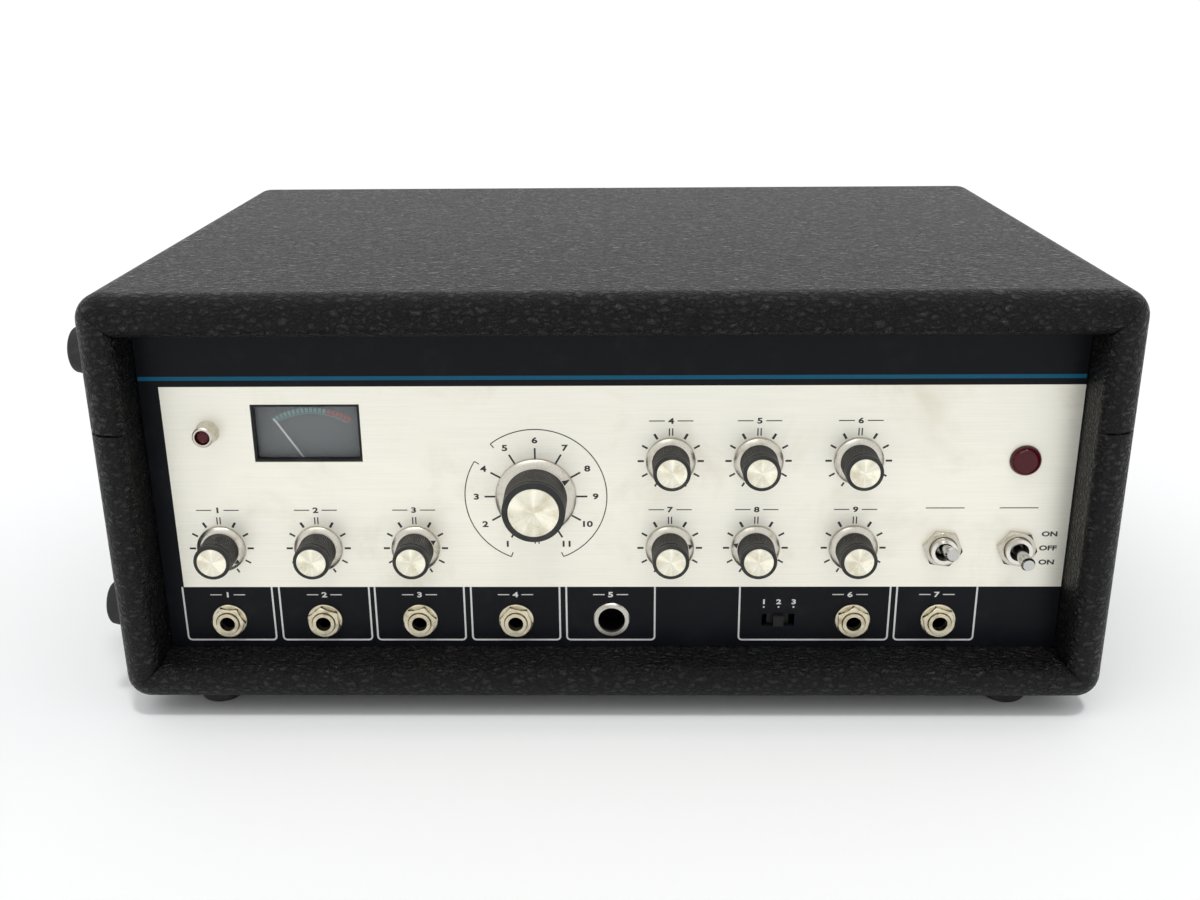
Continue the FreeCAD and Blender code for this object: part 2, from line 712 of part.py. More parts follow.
def knob_skirt(radius, grip_radius, rest, x, z):
    """Skirt ring with a bevelled edge and a small pointer notch at the knob's angle at rest."""
    base = SKIRT_GAP
    top = SKIRT_GAP + SKIRT_THICKNESS
    hole = BUSHING_RADIUS + BUSHING_NUT_ROOM
    edge = base + SKIRT_EDGE
    points = [(base, hole), (base, radius), (edge, radius), (top, radius - SKIRT_BEVEL), (top, hole)]
    floor = PANEL_FRONT - top + POINTER_DEPTH
    half = POINTER_WIDTH / 2
    inner = grip_radius + GROOVE_DEPTH
    start = Vector(x - half, floor, z + inner)
    outline = [start, Vector(x, floor, z + radius), Vector(x + half, floor, z + inner), start]
    notch = Part.Face(Part.makePolygon(outline)).extrude(Vector(0, -2 * POINTER_DEPTH, 0))
    notch.rotate(Vector(x, 0, z), Vector(0, 1, 0), rest)
    return turned(points, x, z).cut(notch)


def knob_grip(radius, cap_radius, height, x, z):
    """Grip: tapered body, groove, front collar with a seat for the cap, bore for the shaft."""
    base = SKIRT_GAP + SKIRT_THICKNESS
    hole = BUSHING_RADIUS + BUSHING_NUT_ROOM
    hole_top = BUSHING_LENGTH + BUSHING_NUT_ROOM
    bore = SHAFT_RADIUS + RUNNING_CLEARANCE
    bore_top = height - GRIP_WALL_OVER_SHAFT
    groove = height - COLLAR_DEPTH
    seat = height - CAP_THICKNESS
    seat_radius = cap_radius + CAP_CLEARANCE
    points = [
        (bore_top, 0),
        (bore_top, bore),
        (hole_top, bore),
        (hole_top, hole),
        (base, hole),
        (base, radius + GROOVE_DEPTH / 2),
        (groove - GROOVE_WIDTH, radius),
        (groove - GROOVE_WIDTH / 2, radius - GROOVE_DEPTH),
        (groove, radius - GROOVE_DEPTH),
        (groove + GROOVE_WIDTH / 2, radius),
        (height - GRIP_EDGE, radius),
        (height, radius - GRIP_EDGE),
        (height, seat_radius),
        (seat, seat_radius),
        (seat, 0),
    ]
    return turned(points, x, z)


def knob_cap(cap_radius, height, x, z):
    seat = height - CAP_THICKNESS
    edge = height - CAP_EDGE
    points = [(seat, 0), (seat, cap_radius), (edge, cap_radius), (height, cap_radius - CAP_EDGE), (height, 0)]
    return turned(points, x, z)


def knob_shaft(height, depth, x, z):
    """Shaft from the knob's bore down into its potentiometer or switch."""
    tip = height - GRIP_WALL_OVER_SHAFT
    end = -PANEL_THICKNESS - depth + POT_BACK + 2 * RUNNING_CLEARANCE
    return turned([(end, 0), (end, SHAFT_RADIUS), (tip, SHAFT_RADIUS), (tip, 0)], x, z)


def make_small_knob(place, rest):
    x, z = place
    return group([
        knob_skirt(KNOB_SKIRT_RADIUS, KNOB_GRIP_RADIUS, rest, x, z),
        knob_grip(KNOB_GRIP_RADIUS, KNOB_CAP_RADIUS, KNOB_HEIGHT, x, z),
        knob_cap(KNOB_CAP_RADIUS, KNOB_HEIGHT, x, z),
        knob_shaft(KNOB_HEIGHT, POT_DEPTH, x, z),
    ])


def bushed_body(radius, depth, x, z):
    """Round body behind the panel with a bushing through it and a blind bore for the shaft."""
    bore = SHAFT_RADIUS + RUNNING_CLEARANCE
    back = -PANEL_THICKNESS
    end = back - depth
    points = [
        (end, 0),
        (end, radius),
        (back, radius),
        (back, BUSHING_RADIUS),
        (BUSHING_LENGTH, BUSHING_RADIUS),
        (BUSHING_LENGTH, bore),
        (end + POT_BACK, bore),
        (end + POT_BACK, 0),
    ]
    return turned(points, x, z)


def make_potentiometers():
    return group([bushed_body(POT_RADIUS, POT_DEPTH, x, z) for x, z in knob_places().values()])


def make_mode_switch():
    return bushed_body(MODE_SWITCH_RADIUS, MODE_SWITCH_DEPTH, MODE_X, panel_z(MODE_HEIGHT))


def make_mode_knob():
    """Grip with its shaft, skirt and cap of the mode knob."""
    place = (MODE_X, panel_z(MODE_HEIGHT))
    grip = knob_grip(MODE_GRIP_RADIUS, MODE_CAP_RADIUS, MODE_KNOB_HEIGHT, *place)
    shaft = knob_shaft(MODE_KNOB_HEIGHT, MODE_SWITCH_DEPTH, *place)
    skirt = knob_skirt(MODE_SKIRT_RADIUS, MODE_GRIP_RADIUS, MODE_REST, *place)
    return group([grip, shaft]), skirt, knob_cap(MODE_CAP_RADIUS, MODE_KNOB_HEIGHT, *place)


def jack_socket(x, z):
    """Socket body behind the panel with its threaded bushing and the bore for a plug."""
    front = PANEL_FRONT - JACK_WASHER_THICKNESS - JACK_NUT_THICKNESS - JACK_LIP
    half_x = JACK_BODY_WIDTH / 2
    half_z = JACK_BODY_HEIGHT / 2
    body = box(x - half_x, x + half_x, PANEL_BACK, PANEL_BACK + JACK_BODY_DEPTH, z - half_z, z + half_z)
    bushing = bar_y(x, z, front, PANEL_BACK + OVERCUT, JACK_BUSHING_RADIUS)
    bore = bar_y(x, z, front - OVERCUT, PANEL_BACK + JACK_BORE_DEPTH, JACK_BORE_RADIUS)
    return fuse([body, bushing]).cut(bore)


def make_jack_sockets():
    return group([jack_socket(x, z) for x, z in jack_places()])


def make_jack_hardware():
    """Round washer and hexagonal nut of each jack socket."""
    pieces = []
    hole = JACK_BUSHING_RADIUS + JACK_THREAD_CLEARANCE
    top = JACK_WASHER_THICKNESS
    for x, z in jack_places():
        washer = [(0, hole), (0, JACK_WASHER_RADIUS), (top, JACK_WASHER_RADIUS), (top, hole)]
        pieces.append(turned(washer, x, z))
        nut = hexagon(JACK_NUT_FLATS, JACK_NUT_THICKNESS, x, z, top)
        pieces.append(nut.cut(bar_y(x, z, FRONT, PANEL_FRONT, hole)))
    return group(pieces)


def make_line_socket():
    """Open round socket: a cup through the panel with a thin rim."""
    inner = LINE_SOCKET_RADIUS
    outer = inner + LINE_SOCKET_WALL
    rim = outer + LINE_SOCKET_RIM
    end = -LINE_SOCKET_DEPTH
    points = [
        (end - LINE_SOCKET_WALL, 0),
        (end - LINE_SOCKET_WALL, outer),
        (0, outer),
        (0, rim),
        (LINE_SOCKET_RIM_HEIGHT, rim - LINE_SOCKET_RIM_HEIGHT),
        (LINE_SOCKET_RIM_HEIGHT, inner),
        (end, inner),
        (end, 0),
    ]
    return turned(points, LINE_SOCKET_X, panel_z(JACK_ROW))


def toggle_body(x, z):
    wide, high, deep = TOGGLE_BODY
    body = box(x - wide / 2, x + wide / 2, PANEL_BACK, PANEL_BACK + deep, z - high / 2, z + high / 2)
    bushing = bar_y(x, z, PANEL_FRONT - TOGGLE_BUSHING_LENGTH, PANEL_BACK + OVERCUT, TOGGLE_BUSHING_RADIUS)
    room = TOGGLE_PIVOT_DEPTH + TOGGLE_BALL_RADIUS + BUSHING_NUT_ROOM
    bore = bar_y(x, z, PANEL_FRONT - TOGGLE_BUSHING_LENGTH - OVERCUT, PANEL_FRONT + room, TOGGLE_BORE_RADIUS)
    return fuse([body, bushing]).cut(bore)


def level_switch_body():
    """Housing of the slide switch, open to the panel's slot, with room for the carriage's travel."""
    x = LEVEL_SWITCH_X
    z = panel_z(JACK_ROW)
    half_x = LEVEL_CARRIAGE_WIDTH / 2 + LEVEL_TRAVEL + LEVEL_GAP
    half_z = LEVEL_CARRIAGE_HEIGHT / 2 + LEVEL_GAP
    back = PANEL_BACK + LEVEL_CARRIAGE_DEPTH + 2 * LEVEL_GAP
    cavity = box(x - half_x, x + half_x, PANEL_BACK - OVERCUT, back, z - half_z, z + half_z)
    half_x += LEVEL_BODY_WALL
    half_z += LEVEL_BODY_WALL
    body = box(x - half_x, x + half_x, PANEL_BACK, back + LEVEL_BODY_WALL, z - half_z, z + half_z)
    return body.cut(cavity)


def make_switch_bodies():
    """Bodies of the two toggle switches and of the slide switch."""
    return group([toggle_body(x, z) for x, z in toggle_places()] + [level_switch_body()])


def make_toggle_nuts():
    nuts = []
    for x, z in toggle_places():
        blank = hexagon(TOGGLE_NUT_FLATS, TOGGLE_NUT_THICKNESS, x, z, 0)
        blank.rotate(Vector(x, PANEL_FRONT, z), Vector(0, 1, 0), TOGGLE_NUT_TURN)
        nuts.append(blank.cut(bar_y(x, z, FRONT, PANEL_FRONT, TOGGLE_BUSHING_RADIUS + JACK_THREAD_CLEARANCE)))
    return group(nuts)


def make_toggle_lever(place, throw):
    """Bat lever on a ball, straight or tipped up by a throw in degrees about its pivot."""
    x, z = place
    pivot = -TOGGLE_PIVOT_DEPTH
    tip = TOGGLE_LEVER_LENGTH
    edge = TOGGLE_LEVER_EDGE
    neck = pivot + math.sqrt(TOGGLE_BALL_RADIUS**2 - TOGGLE_LEVER_ROOT_RADIUS**2)
    points = [
        (pivot - TOGGLE_BALL_RADIUS, 0),
        (neck, TOGGLE_LEVER_ROOT_RADIUS, pivot, TOGGLE_BALL_RADIUS),
        (tip - 2 * edge, TOGGLE_LEVER_TIP_RADIUS),
        (tip, TOGGLE_LEVER_TIP_RADIUS - edge),
        (tip, 0),
    ]
    lever = turned(points, x, z)
    lever.rotate(Vector(x, PANEL_FRONT - pivot, z), Vector(1, 0, 0), -throw)
    return lever


def make_level_slider():
    """Button of the slide switch on its carriage, in the middle place."""
    x = LEVEL_SWITCH_X
    z = panel_z(JACK_ROW)
    half_x = LEVEL_CARRIAGE_WIDTH / 2
    half_z = LEVEL_CARRIAGE_HEIGHT / 2
    front = PANEL_BACK + LEVEL_GAP
    carriage = box(x - half_x, x + half_x, front, front + LEVEL_CARRIAGE_DEPTH, z - half_z, z + half_z)
    half_x = LEVEL_BUTTON_WIDTH / 2
    half_z = LEVEL_BUTTON_HEIGHT / 2
    button_front = PANEL_FRONT - LEVEL_BUTTON_PROUD
    button = box(x - half_x, x + half_x, button_front, front + OVERCUT, z - half_z, z + half_z)
    return fuse([carriage, button])


# Lamps

def dome_point(h0, r0, h1, r1):
    """Outline point (h1, r1) reached from (h0, r0) by an arc that bulges as a quarter ellipse does."""
    bulge = math.sqrt(0.5)
    return (h1, r1, h0 + (h1 - h0) * bulge, r1 + (r0 - r1) * bulge)


def make_power_lamp_lens():
    """Low red dome with a flat middle, held by a flange behind the panel."""
    back = -PANEL_THICKNESS
    flange = back - POWER_LENS_FLANGE
    points = [
        (flange, 0),
        (flange, POWER_LENS_FLANGE_RADIUS),
        (back, POWER_LENS_FLANGE_RADIUS),
        (back, POWER_LENS_RADIUS),
        (POWER_LENS_STEP, POWER_LENS_RADIUS),
        dome_point(POWER_LENS_STEP, POWER_LENS_RADIUS, POWER_LENS_HEIGHT, POWER_LENS_FLAT_RADIUS),
        (POWER_LENS_HEIGHT, 0),
    ]
    return turned(points, POWER_LAMP_X, panel_z(HIGH_ROW))


def make_peak_lamp_bezel():
    end = -PANEL_THICKNESS - PEAK_BARREL_DEPTH
    bore = PEAK_LENS_RADIUS + LAMP_FIT
    length = PEAK_BEZEL_LENGTH
    points = [
        (end, bore),
        (end, PEAK_BARREL_RADIUS),
        (0, PEAK_BARREL_RADIUS),
        (0, PEAK_BEZEL_RADIUS),
        (length - PEAK_BEZEL_EDGE, PEAK_BEZEL_FRONT_RADIUS),
        (length, PEAK_BEZEL_FRONT_RADIUS - PEAK_BEZEL_EDGE),
        (length, bore),
    ]
    return turned(points, PEAK_LAMP_X, panel_z(PEAK_LAMP_HEIGHT))


def make_peak_lamp_lens():
    end = -PANEL_THICKNESS - PEAK_BARREL_DEPTH
    top = PEAK_BEZEL_LENGTH - PEAK_LENS_SINK
    radius = PEAK_LENS_RADIUS
    crown = top - PEAK_LENS_CROWN
    dome = dome_point(crown, radius, top, PEAK_LENS_FLAT_RADIUS)
    points = [(end, 0), (end, radius), (crown, radius), dome, (top, 0)]
    return turned(points, PEAK_LAMP_X, panel_z(PEAK_LAMP_HEIGHT))


def make_lamp_holders():
    """Sockets behind both lamps."""
    power_end = -PANEL_THICKNESS - POWER_LENS_FLANGE
    peak_end = -PANEL_THICKNESS - PEAK_BARREL_DEPTH
    holders = []
    for end, radius, x, height in (
        (power_end, POWER_LENS_FLANGE_RADIUS, POWER_LAMP_X, HIGH_ROW),
        (peak_end, PEAK_BEZEL_RADIUS, PEAK_LAMP_X, PEAK_LAMP_HEIGHT),
    ):
        tail = end - LAMP_HOLDER_DEPTH
        collar = end - LAMP_HOLDER_COLLAR
        thin = radius - LAMP_HOLDER_STEP
        points = [(tail, 0), (tail, thin), (collar, thin), (collar, radius), (end, radius), (end, 0)]
        holders.append(turned(points, x, panel_z(height)))
    return group(holders)


# Meter

def meter_box(margin, y0, y1):
    """Block as wide and high as the meter's housing, less a margin all round."""
    z = panel_z(METER_HEIGHT)
    low = z - METER_CASE_BOTTOM + margin
    high = z + METER_CASE_TOP - margin
    half = METER_WINDOW_WIDTH / 2 + METER_CASE_MARGIN - margin
    return box(METER_X - half, METER_X + half, y0, y1, low, high)


def meter_window_box(margin, y0, y1):
    z = panel_z(METER_HEIGHT)
    half_x = METER_WINDOW_WIDTH / 2 - margin
    half_z = METER_WINDOW_HEIGHT / 2 - margin
    return box(METER_X - half_x, METER_X + half_x, y0, y1, z - half_z, z + half_z)


def needle_pivot_z():
    return panel_z(METER_HEIGHT) - NEEDLE_PIVOT_DROP


def make_meter_case():
    """Housing behind the panel, its rim in the panel's window and the pin of the needle."""
    face = METER_RIM
    end = PANEL_BACK + METER_CASE_DEPTH
    hollow = meter_box(METER_CASE_WALL, PANEL_BACK + face, end - METER_CASE_WALL)
    body = meter_box(0, PANEL_BACK, end).cut(hollow)
    rim = meter_window_box(PANEL_GAP / 2, PANEL_FRONT + PANEL_GAP, PANEL_BACK + face)
    shell = fuse([body, rim])
    inset = METER_RIM + PANEL_GAP / 2
    shell = shell.cut(meter_window_box(inset, PANEL_FRONT - OVERCUT, PANEL_BACK + face + OVERCUT))
    movement_front = PANEL_BACK + METER_SCALE_DEPTH + METER_SCALE_THICKNESS
    z = needle_pivot_z()
    movement = bar_y(METER_X, z, movement_front, end - METER_CASE_WALL / 2, NEEDLE_HUB_RADIUS)
    pin = bar_y(METER_X, z, PANEL_BACK + NEEDLE_DEPTH - OVERCUT, end - METER_CASE_WALL, NEEDLE_PIN_RADIUS)
    return fuse([shell, movement, pin])


def make_meter_window():
    front = PANEL_BACK + METER_RIM
    return meter_box(METER_CASE_WALL + PANEL_GAP / 2, front, front + METER_GLASS_THICKNESS)


def make_meter_scale():
    front = PANEL_BACK + METER_SCALE_DEPTH
    plate = meter_box(METER_CASE_WALL + PANEL_GAP / 2, front, front + METER_SCALE_THICKNESS)
    hole = NEEDLE_PIN_RADIUS + PANEL_GAP / 2
    back = front + METER_SCALE_THICKNESS
    return plate.cut(bar_y(METER_X, needle_pivot_z(), front - OVERCUT, back + OVERCUT, hole))


def make_meter_needle():
    """Needle and hub, pointing up, then turned to its rest."""
    z = needle_pivot_z()
    y0 = PANEL_BACK + NEEDLE_DEPTH
    y1 = y0 + NEEDLE_THICKNESS
    half = NEEDLE_WIDTH / 2
    blade = box(METER_X - half, METER_X + half, y0, y1, z, z + NEEDLE_LENGTH)
    hub_end = y1 + NEEDLE_HUB_PROUD
    hub = bar_y(METER_X, z, y0, hub_end, NEEDLE_HUB_RADIUS)
    bore = bar_y(METER_X, z, y0 - OVERCUT, hub_end + OVERCUT, NEEDLE_PIN_RADIUS + RUNNING_CLEARANCE)
    needle = fuse([blade, hub]).cut(bore)
    needle.rotate(Vector(METER_X, 0, z), Vector(0, 1, 0), NEEDLE_REST)
    return needle


# Chassis and what it carries

def make_chassis_frame():
    """Folded sheet: floor, two side plates, front flanges for the panel, top flanges for the deck."""
    half = CHASSIS_HALF_WIDTH
    pieces = [box(-half, half, PANEL_BACK, CHASSIS_BACK, FLOOR, CHASSIS_FLOOR)]
    for side in (-1, 1):
        x0, x1 = sorted((side * half, side * (half - SHEET)))
        pieces.append(box(x0, x1, PANEL_BACK, CHASSIS_BACK, FLOOR, DECK_UNDERSIDE))
        x0, x1 = sorted((side * (half - SHEET), side * (INNER - CHASSIS_FLANGE_GAP)))
        pieces.append(box(x0, x1, PANEL_BACK, PANEL_BACK + SHEET, FLOOR, DECK_UNDERSIDE))
        x0, x1 = sorted((side * half, side * (half - CHASSIS_FLANGE)))
        pieces.append(box(x0, x1, DECK_FRONT, CHASSIS_BACK, DECK_UNDERSIDE - SHEET, DECK_UNDERSIDE))
    return fuse(pieces)


def cover_screw_places():
    """Places (x, y) of the four screws of the chamber cover."""
    ys = (CHAMBER_FRONT + CHAMBER_BOSS_INSET, CHAMBER_BACK - CHAMBER_BOSS_INSET)
    x = CHAMBER_HALF_WIDTH + CHAMBER_BOSS_RADIUS - 1
    return [(side * x, y) for side in (-1, 1) for y in ys]


def make_transport_deck():
    """Deck plate, the frame of the tape chamber that stands on it, and the pinch arm's stud."""
    plate = box(-DECK_HALF_WIDTH, DECK_HALF_WIDTH, DECK_FRONT, DECK_BACK, DECK_UNDERSIDE, DECK_TOP)
    hole = CAPSTAN_RADIUS + CAPSTAN_HOLE_ROOM
    plate = plate.cut(post(CAPSTAN_X, CAPSTAN_Y, DECK_UNDERSIDE - OVERCUT, DECK_TOP + OVERCUT, hole))
    stud_top = PINCH_ARM_TOP + PINCH_SPRING_HEIGHT + PINCH_PIVOT_PROUD
    stud = post(PINCH_PIVOT_X, PINCH_PIVOT_Y, DECK_TOP, stud_top, PINCH_PIVOT_RADIUS)
    return group([plate, chamber_frame(), stud])


def chamber_frame():
    """Walls of the tape chamber with the bosses of the cover's screws and a slot at each end."""
    top = DECK_TOP + CHAMBER_HEIGHT
    half = CHAMBER_HALF_WIDTH
    walls = box(-half, half, CHAMBER_FRONT, CHAMBER_BACK, DECK_TOP, top)
    walls = walls.cut(box(
        -half + CHAMBER_WALL, half - CHAMBER_WALL, CHAMBER_FRONT + CHAMBER_WALL, CHAMBER_BACK - CHAMBER_WALL,
        DECK_TOP - OVERCUT, top + OVERCUT))
    bosses = [post(x, y, DECK_TOP, top, CHAMBER_BOSS_RADIUS) for x, y in cover_screw_places()]
    tools = []
    slot_back = CHAMBER_FRONT + CHAMBER_WALL + OVERCUT
    for side in (-1, 1):
        x0 = side * TAPE_HALF_SPAN - TAPE_SLOT_WIDTH / 2
        x1 = x0 + TAPE_SLOT_WIDTH
        tools.append(box(x0, x1, CHAMBER_FRONT - OVERCUT, slot_back, DECK_TOP - OVERCUT, top + OVERCUT))
    for x, y in cover_screw_places():
        hole_bottom = top + COVER_THICKNESS - SCREW_LENGTH - SCREW_TIP_ROOM
        tools.append(post(x, y, hole_bottom, top + OVERCUT, SCREW_HOLE_RADIUS))
    return cut(fuse([walls] + bosses), tools)


def make_tape_chamber_cover():
    half = CHAMBER_HALF_WIDTH + 2 * CHAMBER_BOSS_RADIUS
    bottom = DECK_TOP + CHAMBER_HEIGHT
    top = bottom + COVER_THICKNESS
    plate = box(-half, half, CHAMBER_FRONT, CHAMBER_BACK, bottom, top)
    holes = [post(x, y, bottom - OVERCUT, top + OVERCUT, SCREW_HOLE_RADIUS) for x, y in cover_screw_places()]
    return cut(plate, holes)


def tape_path():
    """Middle line of the tape: front run past the heads, round both guides, folds in the chamber."""
    z = TAPE_BOTTOM + TAPE_WIDTH / 2
    turn = GUIDE_RADIUS + GUIDE_GAP + TAPE_THICKNESS / 2
    half = TAPE_HALF_SPAN
    fold = 2 * half / TAPE_FOLDS / 2
    low = CHAMBER_FRONT + CHAMBER_WALL + TAPE_FOLD_MARGIN + fold
    high = CHAMBER_BACK - CHAMBER_WALL - TAPE_FOLD_MARGIN - fold
    diagonal = turn * math.sqrt(0.5)
    edges = []

    def line(x0, y0, x1, y1):
        edges.append(Part.LineSegment(Vector(x0, y0, z), Vector(x1, y1, z)).toShape())

    def arc(x0, y0, xm, ym, x1, y1):
        edges.append(Part.Arc(Vector(x0, y0, z), Vector(xm, ym, z), Vector(x1, y1, z)).toShape())

    line(0 - SPLICE_GAP, TAPE_Y, -half + turn, TAPE_Y)
    arc(-half + turn, TAPE_Y, -half + turn - diagonal, TAPE_Y + turn - diagonal, -half, TAPE_Y + turn)
    line(-half, TAPE_Y + turn, -half, high)
    x = -half
    for index in range(TAPE_FOLDS):
        level, side = (high, 1) if index % 2 == 0 else (low, -1)
        arc(x, level, x + fold, level + side * fold, x + 2 * fold, level)
        x += 2 * fold
        if index < TAPE_FOLDS - 1:
            line(x, level, x, low if side > 0 else high)
    line(half, high, half, TAPE_Y + turn)
    arc(half, TAPE_Y + turn, half - turn + diagonal, TAPE_Y + turn - diagonal, half - turn, TAPE_Y)
    line(half - turn, TAPE_Y, 0, TAPE_Y)
    return Part.Wire(edges)


def make_tape_loop():
    """Tape as a thin upright band along its path, with the splice left as a hairline gap."""
    path = tape_path()
    x = -SPLICE_GAP
    y0 = TAPE_Y - TAPE_THICKNESS / 2
    y1 = TAPE_Y + TAPE_THICKNESS / 2
    z0 = TAPE_BOTTOM
    z1 = TAPE_BOTTOM + TAPE_WIDTH
    corners = [Vector(x, y0, z0), Vector(x, y1, z0), Vector(x, y1, z1), Vector(x, y0, z1), Vector(x, y0, z0)]
    return path.makePipeShell([Part.makePolygon(corners)], True, False)


def make_tape_guides():
    """Flanged posts at both ends of the front run."""
    guides = []
    turn = GUIDE_RADIUS + GUIDE_GAP + TAPE_THICKNESS / 2
    low = TAPE_LIFT - GUIDE_EDGE_GAP
    high = TAPE_LIFT + TAPE_WIDTH + GUIDE_EDGE_GAP
    points = [
        (0, 0),
        (0, GUIDE_FLANGE_RADIUS),
        (low, GUIDE_FLANGE_RADIUS),
        (low, GUIDE_RADIUS),
        (high, GUIDE_RADIUS),
        (high, GUIDE_FLANGE_RADIUS),
        (high + GUIDE_FLANGE, GUIDE_FLANGE_RADIUS),
        (high + GUIDE_FLANGE, 0),
    ]
    for side in (-1, 1):
        guides.append(turned_up(points, side * (TAPE_HALF_SPAN - turn), TAPE_Y + turn, DECK_TOP))
    return group(guides)


def make_tape_heads():
    """Erase, record and three playback heads behind the tape, each with a rounded nose."""
    heads = []
    half = HEAD_WIDTH / 2
    front = TAPE_Y + TAPE_THICKNESS / 2 + HEAD_GAP
    for index in range(HEAD_COUNT):
        x = ERASE_HEAD_X - index * HEAD_PITCH
        head = box(x - half, x + half, front, front + HEAD_DEPTH, DECK_TOP, DECK_TOP + HEAD_HEIGHT)
        faces = [edge for edge in head.Edges if edge.BoundBox.YMax < front + 1e-6]
        nose = [edge for edge in faces if edge.BoundBox.ZLength > 1]
        heads.append(head.makeFillet(HEAD_NOSE, nose))
    return group(heads)


def make_drive_motor():
    """Round motor under the deck with a boss and the capstan's bearing."""
    top = DECK_UNDERSIDE - MOTOR_BOSS_HEIGHT
    body = post(CAPSTAN_X, CAPSTAN_Y, top - MOTOR_HEIGHT, top, MOTOR_RADIUS)
    edges = [edge for edge in body.Edges if edge.BoundBox.ZLength < 1e-6]
    body = body.makeFillet(MOTOR_ROUNDING, edges)
    boss = post(CAPSTAN_X, CAPSTAN_Y, top - OVERCUT, DECK_UNDERSIDE, MOTOR_BOSS_RADIUS)
    bore = post(CAPSTAN_X, CAPSTAN_Y, DECK_UNDERSIDE - MOTOR_BEARING_DEPTH, DECK_UNDERSIDE + OVERCUT,
                CAPSTAN_RADIUS + RUNNING_CLEARANCE)
    return fuse([body, boss]).cut(bore)


def make_capstan():
    bottom = DECK_UNDERSIDE - MOTOR_BEARING_DEPTH + CAPSTAN_END_GAP
    shaft = post(CAPSTAN_X, CAPSTAN_Y, bottom, DECK_TOP + CAPSTAN_RISE, CAPSTAN_RADIUS)
    tip = [edge for edge in shaft.Edges if edge.BoundBox.ZMin > DECK_TOP]
    return shaft.makeChamfer(CAPSTAN_CHAMFER, tip)


def make_pinch_arm():
    """Flat arm from its pivot to the pin of the pinch roller."""
    half = PINCH_ARM_WIDTH / 2
    ends = [(PINCH_PIVOT_X, PINCH_PIVOT_Y), (CAPSTAN_X, PINCH_Y)]
    discs = [post(x, y, PINCH_ARM_BOTTOM, PINCH_ARM_TOP, half) for x, y in ends]
    reach = math.hypot(PINCH_ARM_LENGTH, PINCH_ARM_OFFSET)
    web = box(0, reach, -half, half, PINCH_ARM_BOTTOM, PINCH_ARM_TOP)
    angle = math.degrees(math.atan2(-PINCH_ARM_OFFSET, -PINCH_ARM_LENGTH))
    web.rotate(Vector(0, 0, 0), Vector(0, 0, 1), angle)
    web.translate(Vector(PINCH_PIVOT_X, PINCH_PIVOT_Y, 0))
    pin_top = PINCH_ARM_TOP + DRIVE_GAP + PINCH_WIDTH + PINCH_PIN_PROUD
    pin = post(CAPSTAN_X, PINCH_Y, PINCH_ARM_BOTTOM, pin_top, PINCH_PIN_RADIUS)
    arm = fuse(discs + [web, pin])
    bore = PINCH_PIVOT_RADIUS + RUNNING_CLEARANCE
    return arm.cut(post(PINCH_PIVOT_X, PINCH_PIVOT_Y, DECK_TOP - OVERCUT, PINCH_ARM_TOP + OVERCUT, bore))


def make_pinch_roller():
    """Rubber tyre on a metal hub."""
    bottom = PINCH_ARM_TOP + DRIVE_GAP
    top = bottom + PINCH_WIDTH
    bore = post(CAPSTAN_X, PINCH_Y, bottom - OVERCUT, top + OVERCUT, PINCH_PIN_RADIUS + RUNNING_CLEARANCE)
    hub = post(CAPSTAN_X, PINCH_Y, bottom, top, PINCH_HUB_RADIUS)
    tyre = post(CAPSTAN_X, PINCH_Y, bottom, top, PINCH_RADIUS).cut(hub)
    return group([tyre, hub.cut(bore)])


def make_pinch_spring():
    """Torsion spring round the pinch arm's pivot."""
    bottom = PINCH_ARM_TOP + DRIVE_GAP
    top = bottom + PINCH_SPRING_HEIGHT
    inner = PINCH_PIVOT_RADIUS + DRIVE_GAP
    outer = inner + PINCH_SPRING_WIRE
    return post(PINCH_PIVOT_X, PINCH_PIVOT_Y, bottom, top, outer).cut(
        post(PINCH_PIVOT_X, PINCH_PIVOT_Y, bottom - OVERCUT, top + OVERCUT, inner))


def circuit_board(x0, x1, y0, y1, capacitors, radius, height):
    """Board on four pillars, with upright capacitors at the given (x, y) places."""
    z = CHASSIS_FLOOR + BOARD_LIFT
    top = z + BOARD_THICKNESS
    inset = 2 * BOARD_PILLAR_RADIUS
    shapes = [box(x0, x1, y0, y1, z, top)]
    for x in (x0 + inset, x1 - inset):
        for y in (y0 + inset, y1 - inset):
            shapes.append(post(x, y, CHASSIS_FLOOR, top, BOARD_PILLAR_RADIUS))
    for x, y in capacitors:
        shapes.append(post(x, y, z, top + height, radius))
    return fuse(shapes)


def capacitor_row(x0, y0, count, pitch):
    """Places of a row of capacitors, counted from a board's front left corner."""
    return [(x0 + CAPACITOR_INSET + index * pitch, y0 + CAPACITOR_INSET) for index in range(count)]


def make_circuit_boards():
    """Signal board on the left and power board on the right, behind the panel's parts."""
    y0 = PANEL_BACK + BOARD_SETBACK
    left = -CHASSIS_HALF_WIDTH + BOARD_SIDE_ROOM
    right = CHASSIS_HALF_WIDTH - BOARD_SIDE_ROOM
    power_left = right - POWER_BOARD_WIDTH
    signal = capacitor_row(left, y0, SIGNAL_CAPACITOR_COUNT, SIGNAL_CAPACITOR_PITCH)
    power = capacitor_row(power_left, y0, POWER_CAPACITOR_COUNT, POWER_CAPACITOR_PITCH)
    return group([
        circuit_board(left, left + SIGNAL_BOARD_WIDTH, y0, y0 + SIGNAL_BOARD_DEPTH,
                      signal, SIGNAL_CAPACITOR_RADIUS, SIGNAL_CAPACITOR_HEIGHT),
        circuit_board(power_left, right, y0, y0 + POWER_BOARD_DEPTH,
                      power, POWER_CAPACITOR_RADIUS, POWER_CAPACITOR_HEIGHT),
    ])


